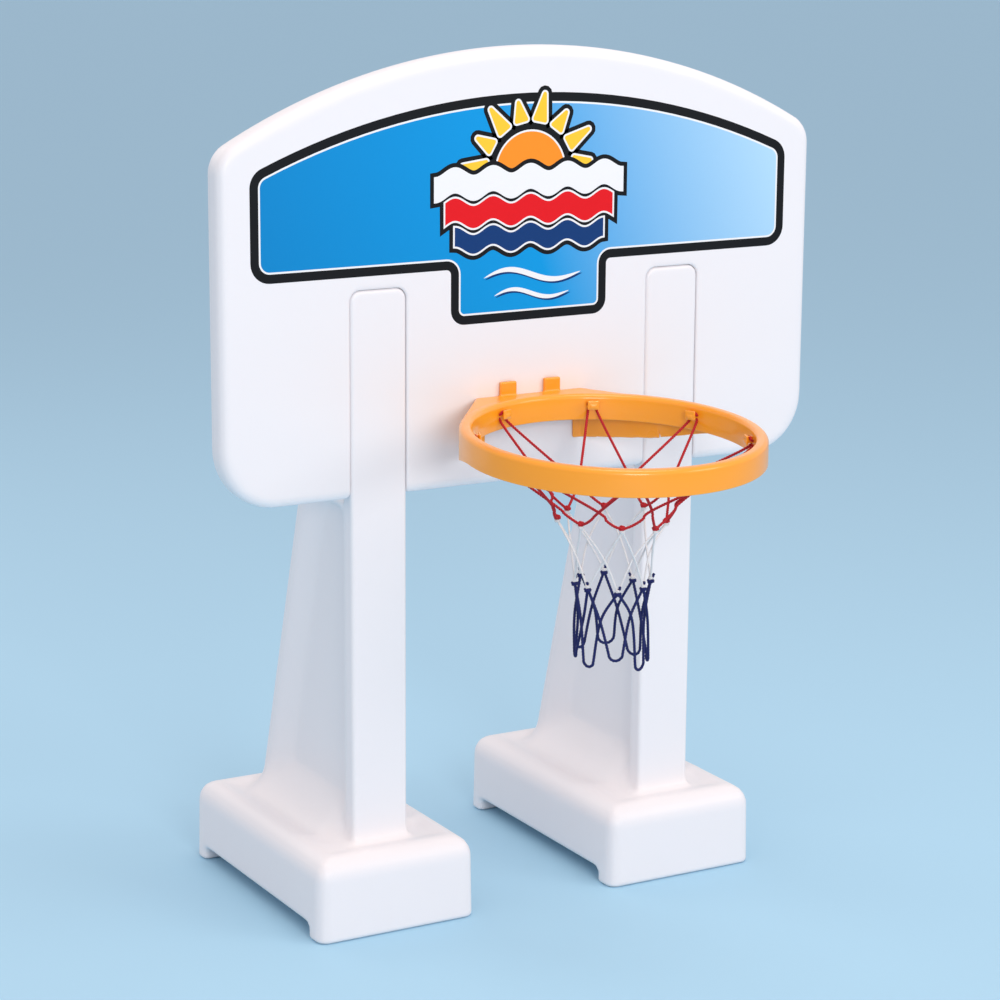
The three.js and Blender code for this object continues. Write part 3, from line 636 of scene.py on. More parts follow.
def board_outline():
    corner_x = BOARD_WIDTH / 2 - BOARD_LOWER_ROUND
    corner_z = BOARD_BOTTOM + BOARD_LOWER_ROUND
    top = (BOARD_WIDTH / 2, BOARD_TOP, BOARD_ARCH_RADIUS, BOARD_TOP_ROUND)
    return np.concatenate(
        [
            arc(-corner_x, corner_z, BOARD_LOWER_ROUND, math.pi, 1.5 * math.pi, BOARD_ARC_STEPS),
            arc(corner_x, corner_z, BOARD_LOWER_ROUND, -math.pi / 2, 0, BOARD_ARC_STEPS),
            arched_top(*top, BOARD_ARC_STEPS),
        ]
    )


def slot_field(x, y, z):
    """The T-shaped space for one post, from below, with a rounded lead-in at its mouth."""
    below = z - BOARD_BOTTOM
    middle_z = BOARD_BOTTOM / 2
    tall = (z - middle_z, SLOT_TOP - middle_z)
    head = box_distance((x, POST_WIDTH / 2 + SLOT_CLEARANCE), tall, radius=POST_TOP_ROUND + SLOT_CLEARANCE)
    stem = box_distance((x, UPPER_WEB_WIDTH / 2 + SLOT_CLEARANCE), tall)
    head = np.maximum(smooth_join(head, below, SLOT_LEAD_IN), y - COLUMN_DEPTH - SLOT_CLEARANCE)
    return np.minimum(head, smooth_join(stem, below, SLOT_LEAD_IN))


def back_panels(plan, x, z):
    """The share of the panels' depth: one above the slots, one between them and one beside each."""
    inset = smooth_step(-plan, PANEL_MARGIN, PANEL_MARGIN + PANEL_SLOPE)
    low = SLOT_TOP + PANEL_ABOVE_SLOT
    above = smooth_step(z, low, low + PANEL_SLOPE)
    below = smooth_step(-z, -SLOT_TOP - PANEL_SLOPE / 2, -SLOT_TOP + PANEL_SLOPE / 2)
    between = smooth_step(POST_CENTRE - PANEL_BESIDE_SLOT - np.abs(x), 0, PANEL_SLOPE)
    beside = smooth_step(np.abs(x) - POST_CENTRE - PANEL_BESIDE_SLOT, 0, PANEL_SLOPE)
    return inset * above + inset * below * (between + beside)


def board_field(x, y, z):
    plan = outline_distance(board_outline(), x[:, :, 0], z[0, :, :])[:, None, :]
    edge = plan + FIT_GAP - seam_ridge(y - BOARD_DEPTH / 2)
    body = meet(edge, np.abs(y - BOARD_DEPTH / 2) - BOARD_DEPTH / 2, BOARD_EDGE_ROUND)
    body = np.maximum(body, y - BOARD_DEPTH + PANEL_DEPTH * back_panels(plan, x, z))
    for centre in (-POST_CENTRE, POST_CENTRE):
        body = smooth_cut(body, slot_field(x - centre, y, z), SLOT_EDGE_BLEND)
    for centre, height in (UPPER_HOOK, LOWER_HOOK):
        body = np.maximum(body, -box_at((np.abs(x) - centre, z - height, y), HOOK_WINDOW, 1))
    return body


def add_backboard():
    slot_walls = []
    for centre in (-POST_CENTRE, POST_CENTRE):
        for half, reach, spacing in ((POST_WIDTH / 2, 6, 1.3), (UPPER_WEB_WIDTH / 2, 3, 1.7)):
            for side in (-1, 1):
                wall = centre + side * (half + SLOT_CLEARANCE)
                slot_walls.append((wall - reach, wall + reach, spacing))
    margin, coarse = 4, 8
    half, low, high = BOARD_WIDTH / 2 + margin, BOARD_BOTTOM - margin, BOARD_TOP + margin
    ends = ((-half, -326, 3.1), (326, half, 3.1))
    hooks = ((-54, -21, 2.2), (21, 54, 2.2))
    levels = ((low, 548, 2.6), (597, 645, 2.4), (SLOT_TOP - 15, SLOT_TOP + 3, 1.3), (905, high, 2.7))
    shape = surface(
        board_field,
        grid_lines(-half, half, coarse, *ends, *slot_walls, *hooks),
        grid_lines(-3, BOARD_DEPTH + 4, 3.4, (-3, 5, 1.5), (16, 20, 0.8), (21, 24.5, 1.1), (31, 38, 1.7)),
        grid_lines(low, high, coarse, *levels),
    )
    piece_from("backboard_shell", [(*shape, WHITE_PLASTIC)], "board", "backboard")


# Print on the board: thin layers on top of each other
DECAL_HALF_WIDTH = 361
DECAL_BOTTOM = 783
DECAL_TOP = 984
DECAL_ARCH_RADIUS = 880
DECAL_ROUND = 24
DECAL_TAB_HALF = 105.5
DECAL_TAB_BOTTOM = 717
DECAL_TAB_ROUND = 18
DECAL_INNER_ROUND = 6
BORDER_WIDTH = 10.5
KEYLINE_WIDTH = 2.2
OUTLINE_WIDTH = 5
SUN_CENTRE = (0, 893)
SUN_RADIUS = 46
RAY_COUNT = 8
RAY_FIRST_ANGLE = 6
RAY_SWEEP = 168
RAY_ROOT = 58
RAY_TIPS = (90, 102)
RAY_HALF_WIDTH = 10
RAY_ROUND = 2.5
WAVE_CREST = 10
WAVE_LENGTH = 50.4
WAVE_BANDS = ((126, 900, 26, PRINT_WHITE), (113.4, 866, 26, PRINT_RED), (100.8, 832, 22, PRINT_NAVY))
STROKES = ((-62, 70, 770, 9, 7), (-48, 54, 748, 7, 5.5))
STROKE_SHADOW = (2, -2.2)
STROKE_CALM = 0.3
STROKE_TAPER = 0.6
BORDERS = (
    (0, 0.10, PRINT_BLACK),
    (BORDER_WIDTH, 0.14, PRINT_WHITE),
    (BORDER_WIDTH + KEYLINE_WIDTH, 0.18, PRINT_BLUE),
)
EDGES = ((KEYLINE_WIDTH + OUTLINE_WIDTH, PRINT_BLACK), (KEYLINE_WIDTH, PRINT_WHITE), (0, None))
PRINT_BACK = -0.02
RAY_LEVEL = 0.20
SUN_LEVEL = 0.23
BAND_LEVEL = 0.26
STROKE_SHADOW_LEVEL = 0.36
STROKE_LEVEL = 0.38
LEVEL_STEP = 0.01


def decal_outline(inset):
    half, bottom, tab = DECAL_HALF_WIDTH - inset, DECAL_BOTTOM + inset, DECAL_TAB_HALF - inset
    low, outer, inner = DECAL_TAB_BOTTOM + inset, DECAL_TAB_ROUND - inset, DECAL_INNER_ROUND + inset
    top, corner, steps = DECAL_TOP - inset, DECAL_ROUND - inset, 8
    lower = [
        (-half, bottom, corner),
        (-tab, bottom, inner),
        (-tab, low, outer),
        (tab, low, outer),
        (tab, bottom, inner),
        (half, bottom, corner),
    ]
    closed = rounded_outline([*lower, (half, top, 1), (-half, top, 1)], steps)
    arch = arched_top(half, top, DECAL_ARCH_RADIUS - inset, corner, steps)
    return np.concatenate([closed[: len(lower) * (steps + 1)], arch])


def wave_band(half_width, top, height):
    """A band of waves, from its left end to its right and back along its upper edge."""
    x = np.linspace(-half_width, half_width, 97)
    wave = WAVE_CREST * (0.5 * np.cos(TURN * x / WAVE_LENGTH) - 0.5)
    lower = np.stack([x, top - height + wave], 1)
    upper = np.stack([x, top + wave], 1)[::-1]
    return np.concatenate([lower, upper])


def swoosh(left, right, height, rise, thickness):
    """A flowing stroke, thin at both ends."""
    share = np.linspace(0, 1, 49)
    x = left + (right - left) * share
    middle = height + rise * np.sin(TURN * share) * (1 - STROKE_CALM * share)
    half = thickness / 2 * np.sin(math.pi * share) ** STROKE_TAPER
    return np.concatenate([np.stack([x, middle + half], 1), np.stack([x, middle - half], 1)[-2:0:-1]])


def ray_outline(i):
    """One pointed ray of the sun, every second one longer."""
    angle = math.radians(RAY_FIRST_ANGLE + RAY_SWEEP * i / (RAY_COUNT - 1))
    along = np.array((math.cos(angle), math.sin(angle)))
    side = np.array((-along[1], along[0])) * RAY_HALF_WIDTH
    root = along * RAY_ROOT
    corners = [SUN_CENTRE + corner for corner in (root - side, along * RAY_TIPS[i % 2], root + side)]
    return rounded_outline([(*corner, RAY_ROUND) for corner in corners], 5)


def edged(shapes, level):
    """Layers of shapes that share an edge: all their black edges, then the white ones, then the colours."""
    layers = []
    for margin, edge in EDGES:
        for outline, material in shapes:
            layers.append((grown(outline, margin), level, edge or material))
            level += LEVEL_STEP
    return layers


def add_decal():
    layers = [(decal_outline(inset), level, material) for inset, level, material in BORDERS]
    for i in range(RAY_COUNT):
        layers += edged([(ray_outline(i), PRINT_YELLOW)], RAY_LEVEL)
    layers += edged([(arc(*SUN_CENTRE, SUN_RADIUS, 0, TURN, 64)[:-1], PRINT_ORANGE)], SUN_LEVEL)
    layers += edged([(wave_band(*sizes), material) for *sizes, material in WAVE_BANDS], BAND_LEVEL)
    for sizes in STROKES:
        stroke = swoosh(*sizes)
        layers.append((stroke + STROKE_SHADOW, STROKE_SHADOW_LEVEL, PRINT_NAVY))
        layers.append((stroke, STROKE_LEVEL, PRINT_WHITE))
    shapes = [(*plate(outline, -level, PRINT_BACK), material) for outline, level, material in layers]
    piece_from("backboard_print", shapes, "board", "backboard_decal", smooth=False)


# Rim: rounds and blends, and the middle and half size of lugs, hooks and clip ribs on each axis
BRACKET_CORNER_ROUND = 6
BRACKET_EDGE_ROUND = 2.2
HOLLOW_BLEND = 3
RIB_HALF = 1.3
RIB_DEPTH = 15
RIB_BLEND = 2
GUSSET_PAST_WALL = 0.4
GUSSET_EDGE_ROUND = 0.6
GUSSET_GAP_HALF = 60
GUSSET_BLEND = 3
LUG = ((HOOK_PLACE, 11), (-3.1, 2.8), (628, 17))
LUG_ROUND = 1.8
LUG_BLEND = 2.5
HOOK_NECK = ((0, 7), (2.2, 4.1), (2.5, 2.5))
HOOK_LIP = ((0, 7), (4.8, 1.5), (-3.4, 8.3))
HOOK_ROUND = 0.8
HOOK_BLEND = 1.5
RING_SEGMENTS = 192
RING_EDGE_ROUND = 1.2
RING_INSIDE_ROUND = 2.5
RING_TOP_ROUND = 5.5
CLIP_LIP_RISE = 1.5
CLIP_RIB = ((0, 1.1), (2.5, 3.4))
CLIP_ROUNDS = (0.7, 1.1, 0.5)
CLIP_BLEND = 1.5
CLIP_SPACING = 0.75


def tangent_point():
    """Where the bracket's right side touches the ring."""
    to_back = -SEAT_GAP - RING_CENTRE_Y
    reach = math.hypot(BRACKET_HALF_BACK, to_back)
    angle = math.atan2(to_back, BRACKET_HALF_BACK) - math.acos(RING_RADIUS / reach)
    return RING_RADIUS * math.cos(angle), RING_CENTRE_Y + RING_RADIUS * math.sin(angle)


def bracket_field(x, y, z):
    """The flat bracket, hollow from below, with two ribs inside and a gusset under each side."""
    touch_x, touch_y = tangent_point()
    half, back = BRACKET_HALF_BACK, (-SEAT_GAP, BRACKET_CORNER_ROUND)
    corners = [(half, *back), (-half, *back), (-touch_x, touch_y, 0.5), (touch_x, touch_y, 0.5)]
    plan = outline_distance(rounded_outline(corners, 8), x[:, :, 0], y[:, :, 0])[:, :, None]
    level = z - DROOP * y
    low = RIM_TOP - RING_HEIGHT
    ring = RING_RADIUS - RIM_WALL / 2 - np.hypot(x, y - RING_CENTRE_Y)
    shell = np.maximum(meet(plan, level - BRACKET_TOP, BRACKET_EDGE_ROUND), low - level)
    hollow = smooth_meet(plan + RIM_WALL, level - BRACKET_TOP + RIM_WALL, HOLLOW_BLEND)
    ribs = np.maximum(np.abs(np.abs(x) - HOOK_PLACE) - RIB_HALF, BRACKET_TOP - RIB_DEPTH - level)
    shell = np.maximum(np.maximum(shell, -smooth_cut(hollow, ribs, RIB_BLEND)), ring)
    front = touch_y + RIM_WALL + GUSSET_PAST_WALL
    under = meet(front - y, GUSSET_LOW + GUSSET_RISE * y / front - level, GUSSET_EDGE_ROUND)
    gusset = np.maximum(np.maximum(plan, -plan - RIM_WALL), np.maximum(under, level - low - 1))
    gusset = smooth_cut(gusset, np.maximum(np.abs(x) - GUSSET_GAP_HALF, level - low), GUSSET_BLEND)
    return np.minimum(shell, gusset)


def lug_and_hook_field(x, y, z):
    body = box_at((np.abs(x), y, z), LUG, LUG_ROUND)
    for centre, height in (UPPER_HOOK, LOWER_HOOK):
        places = (np.abs(x) - centre, y, z - height)
        neck, lip = (box_at(places, part, HOOK_ROUND) for part in (HOOK_NECK, HOOK_LIP))
        body = np.minimum(body, smooth_join(neck, lip, HOOK_BLEND))
    return body


def rim_back_field(x, y, z):
    return smooth_join(bracket_field(x, y, z), lug_and_hook_field(x, y, z), LUG_BLEND)


def ring_shape():
    """The ring, whose outer wall hangs deeper where it comes away from the gusset."""
    low, inner = RIM_TOP - RING_HEIGHT, RING_RADIUS - RING_THICKNESS
    corners = [
        (inner, low, RING_EDGE_ROUND),
        (inner + RIM_WALL, low, RING_EDGE_ROUND),
        (inner + RIM_WALL, RIM_TOP - RIM_WALL, RING_INSIDE_ROUND),
        (RING_RADIUS - RIM_WALL, RIM_TOP - RIM_WALL, RING_INSIDE_ROUND),
        (RING_RADIUS - RIM_WALL, low, RING_EDGE_ROUND),
        (RING_RADIUS, low, RING_EDGE_ROUND),
        (RING_RADIUS, RIM_TOP, RING_TOP_ROUND),
        (inner, RIM_TOP, RING_TOP_ROUND),
    ]
    points, quads = turned(rounded_outline(corners, 7), RING_SEGMENTS)
    lean = np.arctan2(points[:, 1], np.abs(points[:, 0]))
    touch_x, touch_y = tangent_point()
    beside_gusset = lean < math.atan2(touch_y - RING_CENTRE_Y, touch_x) + SKIRT_OVERLAP
    outer = np.hypot(points[:, 0], points[:, 1]) > RING_RADIUS - RIM_WALL - 0.1
    bottom = points[:, 2] < low + RING_EDGE_ROUND + 0.1
    depth = (low - GUSSET_LOW - GUSSET_RISE) * smooth_step(lean, SKIRT_START, SKIRT_FULL)
    points[:, 2] -= depth * (outer & bottom & beside_gusset)
    points += (0, RING_CENTRE_Y, 0)
    points[:, 2] += DROOP * points[:, 1]
    return points, quads, ORANGE_PLASTIC


def clip_shape():
    """One net clip: x points out of the ring's inner wall towards its axis."""
    width, height = CLIP_NECK
    lip_width, lip_height, lip_thickness = CLIP_LIP
    half, lip_half = CLIP_REACH / 2, lip_thickness / 2
    neck_box = ((half, half + 1), (0, width / 2), (0, height / 2))
    lip_box = ((CLIP_REACH - lip_half, lip_half), (0, lip_width / 2), (CLIP_LIP_RISE, lip_height / 2))
    parts = (neck_box, lip_box, ((half, half), *CLIP_RIB))

    def clip_field(*places):
        neck, lip, rib = (box_at(places, part, size) for part, size in zip(parts, CLIP_ROUNDS))
        return smooth_join(smooth_join(neck, lip, CLIP_BLEND), rib, 1)

    reaches = ((-1.9, 10), (-8, 8), (-6, 9))
    return surface(clip_field, *(grid_lines(*reach, CLIP_SPACING) for reach in reaches))


def shape_group(name, kinds):
    """A geometry tree that is given a material besides its other inputs."""
    return new_group(name, "GeometryNodeTree", {**kinds, "Finish": "Material"}, {"Geometry": "Geometry"})


def finish_group(tree, shape, given):
    """Ends a geometry tree: its shape made real, with its material."""
    real = add_node(tree, "GeometryNodeRealizeInstances", {0: shape})
    finish = {"Geometry": real, "Material": given["Finish"]}
    add_node(tree, "NodeGroupOutput", {0: add_node(tree, "GeometryNodeSetMaterial", finish)})


def clip_ring_tree():
    """Copies of a clip set round the ring's inner wall, turned to its axis and lowered as the rim droops."""
    kinds = {"Clip": "Object", "Count": "Int", "Radius": "Float", "Centre": "Vector", "Droop": "Float"}
    tree, given, sockets = shape_group("clips_round_ring", kinds)
    middle = maths(tree, "ADD", add_node(tree, "GeometryNodeInputIndex"), 0.5)
    angle = maths(tree, "MULTIPLY", maths(tree, "DIVIDE", middle, given["Count"]), TURN)
    turn = add_node(tree, "ShaderNodeCombineXYZ", {"Z": maths(tree, "ADD", angle, math.pi)})
    spoke = add_node(tree, "ShaderNodeCombineXYZ", {"X": given["Radius"]})
    way = {"Vector": spoke, "Angle": angle}
    around = add_node(tree, "ShaderNodeVectorRotate", way, rotation_type="Z_AXIS")
    moved = maths(tree, "ADD", around, given["Centre"], kind="ShaderNodeVectorMath")
    forward = add_node(tree, "ShaderNodeSeparateXYZ", {0: moved}).outputs["Y"]
    drop = add_node(tree, "ShaderNodeCombineXYZ", {"Z": maths(tree, "MULTIPLY", forward, given["Droop"])})
    place = maths(tree, "ADD", moved, drop, kind="ShaderNodeVectorMath")
    points = add_node(tree, "GeometryNodePoints", {"Count": given["Count"], "Position": place})
    clip = add_node(tree, "GeometryNodeObjectInfo", {"Object": given["Clip"]}).outputs["Geometry"]
    copied = {"Points": points, "Instance": clip, "Rotation": turn}
    copies = add_node(tree, "GeometryNodeInstanceOnPoints", copied)
    finish_group(tree, copies, given)
    return tree, sockets


def made_by_nodes(carrier, tree, sockets, values):
    """Runs a geometry tree on an object and returns the mesh that comes out of it."""
    modifier = carrier.modifiers.new("made", "NODES")
    modifier.node_group = tree
    for name, value in values.items():
        modifier[sockets[name]] = value
    graph = bpy.context.evaluated_depsgraph_get()
    data = bpy.data.meshes.new_from_object(carrier.evaluated_get(graph))
    carrier.modifiers.remove(modifier)
    return data


def clip_copies():
    """All clips as one (points, faces, material) shape in the hoop's millimetre frame."""
    points, quads = clip_shape()
    clip_mesh = bpy.data.meshes.new("clip")
    clip_mesh.from_pydata((points * MM).tolist(), [], quads.tolist())
    clip = link("clip", clip_mesh)
    carrier = link("clip_carrier", bpy.data.meshes.new("clip_carrier"))
    values = {
        "Clip": clip,
        "Count": CLIP_COUNT,
        "Radius": (RING_RADIUS - RING_THICKNESS) * MM,
        "Centre": (0, RING_CENTRE_Y * MM, (RIM_TOP - CLIP_DROP) * MM),
        "Droop": DROOP,
        "Finish": ORANGE_PLASTIC,
    }
    data = made_by_nodes(carrier, *clip_ring_tree(), values)
    points = np.array([vertex.co for vertex in data.vertices]) / MM
    faces = [tuple(polygon.vertices) for polygon in data.polygons]
    for scratch in (clip, carrier):
        bpy.data.objects.remove(scratch)
    return points, faces, ORANGE_PLASTIC


def add_rim():
    back = surface(
        rim_back_field,
        grid_lines(-146, 146, 1.5, (-42, -18, 1.2), (18, 42, 1.2)),
        grid_lines(-96, 9, 1.7, (-9, 9, 0.9)),
        grid_lines(GUSSET_LOW - 8, 648, 1.6, (588, 648, 1.1)),
    )
    shapes = [ring_shape(), (*back, ORANGE_PLASTIC), clip_copies()]
    piece_from("rim_moulding", shapes, "hoop", "rim")


# Net: its cords, then its rows from the top, red, white and navy, as radius, drop, seed, scatter of both
RED_RADIUS = 1.8
WHITE_RADIUS = 1.4
BLUE_RADIUS = 1.9
NET_ROWS = (
    (79, 77, 2, 2.5, 4),
    (61, 105, 3, 2.5, 5),
    (48, 140, 4, 2, 4),
    (44, 181, 6, 2, 4),
    (41, 217, 7, 2.5, 4),
    (43, 269, 8, 3, 9),
)
HALF_STEPS = 2 * CLIP_COUNT
TURN_SCATTER = 0.16
# Knots as lift, width, turns and height
RED_KNOT = (1.2, 1.5, 2.4, 3.6)
WHITE_UPPER_KNOT = (-2.6, 1.6, 2.2, 3.2)
WHITE_LOWER_KNOT = (2.4, 1.7, 2.6, 4)
BLUE_KNOT = (-1.4, 1.5, 2.2, 3.8)
KNOT_STEPS = 14
RED_SAG = (1, 5)
LEG_TOP = -8
LEG_CLEARANCE = 0.5
WHITE_START_DROP = 2
LOOP_HALF_WIDTH = 9
LOOP_SCATTER = (0.75, 1.15)
TAIL_TILT = 1.5
TAIL_SWAY = 2.2
TAIL_HEIGHTS = (4, 9)
STRANDS = 3
CORD_SIDES = 12
GROOVE_DEPTH = 0.13
LAY_TO_RADIUS = 5.5
CORD_STEP = 1.1
PATH_STEP = 3.0


def net_point(half_steps, radius, drop):
    angle = half_steps * math.pi / CLIP_COUNT
    top = RIM_TOP + DROOP * RING_CENTRE_Y
    return np.array((radius * math.cos(angle), RING_CENTRE_Y + radius * math.sin(angle), top - drop))


def net_row(radius, drop, seed, radial, vertical):
    """One point of a row for each half step round the net, a little uneven as a hung net is."""
    random = np.random.default_rng(seed)
    row = []
    for n in range(HALF_STEPS):
        shift = random.uniform(-1, 1, 3)
        turn = n + TURN_SCATTER * shift[2]
        row.append(net_point(turn, radius + radial * shift[0], drop + vertical * shift[1]))
    return row


def flowing(points):
    """A smooth path through points."""
    points = np.asarray(points, float)
    padded = np.concatenate([2 * points[:1] - points[1:2], points, 2 * points[-1:] - points[-2:-1]])
    path = []
    for p0, p1, p2, p3 in zip(padded, padded[1:], padded[2:], padded[3:]):
        steps = max(2, int(np.linalg.norm(p2 - p1) / PATH_STEP))
        for t in np.arange(steps) / steps:
            bend = 2 * p0 - 5 * p1 + 4 * p2 - p3
            swing = 3 * p1 - p0 - 3 * p2 + p3
            path.append(0.5 * (2 * p1 + (p2 - p0) * t + bend * t**2 + swing * t**3))
    path.append(points[-1])
    return np.array(path)


def sagging(start, end, sag):
    """Two points between two ends that hang below the straight line."""
    return [start + (end - start) * s + np.array((0, 0, -4 * sag * s * (1 - s))) for s in (1 / 3, 2 / 3)]


def outward(point, distance):
    spoke = np.array((point[0], point[1] - RING_CENTRE_Y, 0))
    return point + spoke / np.linalg.norm(spoke) * distance


def near(row, half_steps):
    return row[half_steps % HALF_STEPS]


def loop_corners(i, cross_row, end_row, cord_radius):
    """One end of loop i, its two crossings, the first outside and the second inside, and its other end."""
    left = outward(near(cross_row, 2 * i), cord_radius)
    right = outward(near(cross_row, 2 * i + 2), -cord_radius)
    return near(end_row, 2 * i - 1), left, right, near(end_row, 2 * i + 3)


def knot_path(point, cord_radius, lift, width, turns, height):
    """A cord wound round a junction: a short upright coil that closes over itself."""
    share = np.linspace(0, 1, int(turns * KNOT_STEPS) + 1)
    angle = TURN * turns * share
    bulge = width * cord_radius * (0.55 + 0.5 * np.sin(math.pi * share))
    coil = np.stack([bulge * np.cos(angle), bulge * np.sin(angle), height * (share - 0.5)], 1)
    return point + (0, 0, lift) + coil


def clip_loop(i):
    """The cord's way over one clip's neck, with the tops of its two legs."""
    width, height = CLIP_NECK
    angle = (i + 0.5) * TURN / CLIP_COUNT
    spoke = np.array((math.cos(angle), math.sin(angle), 0))
    beside = np.array((spoke[1], -spoke[0], 0))
    radius = RING_RADIUS - RING_THICKNESS - (CLIP_REACH - CLIP_LIP[2]) / 2
    centre = np.array((0, RING_CENTRE_Y, 0)) + spoke * radius
    centre[2] = RIM_TOP + DROOP * centre[1] - CLIP_DROP
    reach = RED_RADIUS + LEG_CLEARANCE
    right = arc(width / 2, height / 2, reach, 0, math.pi / 2, 4)
    left = arc(-width / 2, height / 2, reach, math.pi / 2, math.pi, 4)
    flat = [(width / 2 + reach, LEG_TOP), *right, *left, (-width / 2 - reach, LEG_TOP)]
    return [centre + beside * u + np.array((0, 0, v)) for u, v in flat]


def red_paths(cross_row, end_row):
    random = np.random.default_rng(11)
    paths = []
    for i in range(CLIP_COUNT):
        first, left, right, last = loop_corners(i, cross_row, end_row, RED_RADIUS)
        first_sag, last_sag = random.uniform(*RED_SAG, 2)
        up = [first, *sagging(first, left, first_sag), left]
        down = [right, *sagging(right, last, last_sag), last]
        paths.append(flowing([*up, *clip_loop(i), *down]))
    for n in range(1, HALF_STEPS, 2):
        paths.append(knot_path(end_row[n], RED_RADIUS, *RED_KNOT))
    return paths


def white_paths(start_row, cross_row, end_row):
    paths = []
    for n in range(1, HALF_STEPS, 2):
        for way in (-1, 1):
            cross = outward(near(cross_row, n + way), way * WHITE_RADIUS)
            start = start_row[n] - (0, 0, WHITE_START_DROP)
            paths.append(flowing([start, cross, near(end_row, n + 2 * way)]))
        paths.append(knot_path(start_row[n], WHITE_RADIUS, *WHITE_UPPER_KNOT))
        paths.append(knot_path(end_row[n], WHITE_RADIUS, *WHITE_LOWER_KNOT))
    return paths


def blue_paths(start_row, cross_row, bottom_row):
    random = np.random.default_rng(5)
    paths = []
    for i in range(CLIP_COUNT):
        first, left, right, last = loop_corners(i, cross_row, start_row, BLUE_RADIUS)
        along = net_point(2 * i + 2, 1, 0) - net_point(2 * i, 1, 0)
        along = along / np.linalg.norm(along)
        half = LOOP_HALF_WIDTH * random.uniform(*LOOP_SCATTER)
        turn = arc(0, half, half, math.pi, TURN, 8)
        loop = [bottom_row[2 * i + 1] + along * u + np.array((0, 0, v)) for u, v in turn]
        paths.append(flowing([first, left, *loop, right, last]))
    for n in range(1, HALF_STEPS, 2):
        paths.append(knot_path(start_row[n], BLUE_RADIUS, *BLUE_KNOT))
        knot = start_row[n] + (0, 0, BLUE_KNOT[0])
        tilt = np.array((*random.uniform(-TAIL_TILT, TAIL_TILT, 2), 0))
        middle, end = (np.array((0, 0, height)) for height in TAIL_HEIGHTS)
        paths.append(flowing([knot, knot + tilt + middle, knot + TAIL_SWAY * tilt + end]))
    return paths


def cord_tree():
    """A cord of three twisted strands swept along each path, with an attribute that marks its grooves."""
    kinds = {"Paths": "Geometry", "Radius": "Float", "Lay length": "Float", "Step": "Float"}
    tree, given, sockets = shape_group("twisted_cord", kinds)
    paths = add_node(tree, "GeometryNodeMeshToCurve", {"Mesh": given["Paths"]})
    even = {"Curve": paths, "Length": given["Step"]}
    path = add_node(tree, "GeometryNodeResampleCurve", even, mode="LENGTH")
    along = add_node(tree, "GeometryNodeSplineParameter").outputs["Length"]
    twist = maths(tree, "MULTIPLY", maths(tree, "DIVIDE", along, given["Lay length"]), TURN)
    twisted = add_node(tree, "GeometryNodeSetCurveTilt", {"Curve": path, "Tilt": twist})
    around = add_node(tree, "GeometryNodeSplineParameter").outputs["Factor"]
    wave = maths(tree, "COSINE", maths(tree, "MULTIPLY", around, STRANDS * TURN))
    circle = add_node(tree, "GeometryNodeCurvePrimitiveCircle", {"Resolution": CORD_SIDES, "Radius": 1})
    held = add_node(tree, "GeometryNodeCaptureAttribute", {"Geometry": circle}, domain="POINT")
    held.capture_items.new("FLOAT", "Groove")
    feed(tree, held, {"Groove": wave})
    swell = maths(tree, "MULTIPLY_ADD", wave, GROOVE_DEPTH, 1 - GROOVE_DEPTH)
    size = {0: add_node(tree, "GeometryNodeInputPosition")}
    size["Scale"] = maths(tree, "MULTIPLY", swell, given["Radius"])
    scaled = add_node(tree, "ShaderNodeVectorMath", size, operation="SCALE")
    section = add_node(tree, "GeometryNodeSetPosition", {"Geometry": held, "Position": scaled})
    swept = {"Curve": twisted, "Profile Curve": section, "Fill Caps": True}
    mark = {"Geometry": add_node(tree, "GeometryNodeCurveToMesh", swept), "Name": "Groove"}
    mark["Value"] = held.outputs["Groove"]
    cord = add_node(tree, "GeometryNodeStoreNamedAttribute", mark, data_type="FLOAT", domain="POINT")
    finish_group(tree, add_node(tree, "GeometryNodeSetShadeSmooth", {"Geometry": cord}), given)
    return tree, sockets


def add_cords(name, paths, radius, material, slot, tree, sockets):
    points, edges = [], []
    for path in paths:
        first = len(points)
        points.extend(metres(*point) for point in path)
        edges.extend((first + n, first + n + 1) for n in range(len(path) - 1))
    data = bpy.data.meshes.new(f"{name}_paths")
    data.from_pydata(points, edges, [])
    carrier = link(f"{name}_paths", data)
    values = {
        "Radius": radius * MM,
        "Lay length": LAY_TO_RADIUS * radius * MM,
        "Step": CORD_STEP * MM,
        "Finish": material,
    }
    made = made_by_nodes(carrier, tree, sockets, values)
    made.name = f"{name}_cords"
    bpy.data.objects.remove(carrier)
    place_piece(link(f"{name}_cords", made), "hoop", name)


def add_net():
    red_cross, red_end, white_cross, white_end, blue_cross, bottoms = (net_row(*row) for row in NET_ROWS)
    cord = cord_tree()
    for name, paths, radius, material, slot in (
        ("net_red", red_paths(red_cross, red_end), RED_RADIUS, RED_CORD, "cord_red"),
        ("net_white", white_paths(red_end, white_cross, white_end), WHITE_RADIUS, WHITE_CORD, "cord_white"),
        ("net_blue", blue_paths(white_end, blue_cross, bottoms), BLUE_RADIUS, BLUE_CORD, "cord_blue"),
    ):
        add_cords(name, paths, radius, material, slot, *cord)


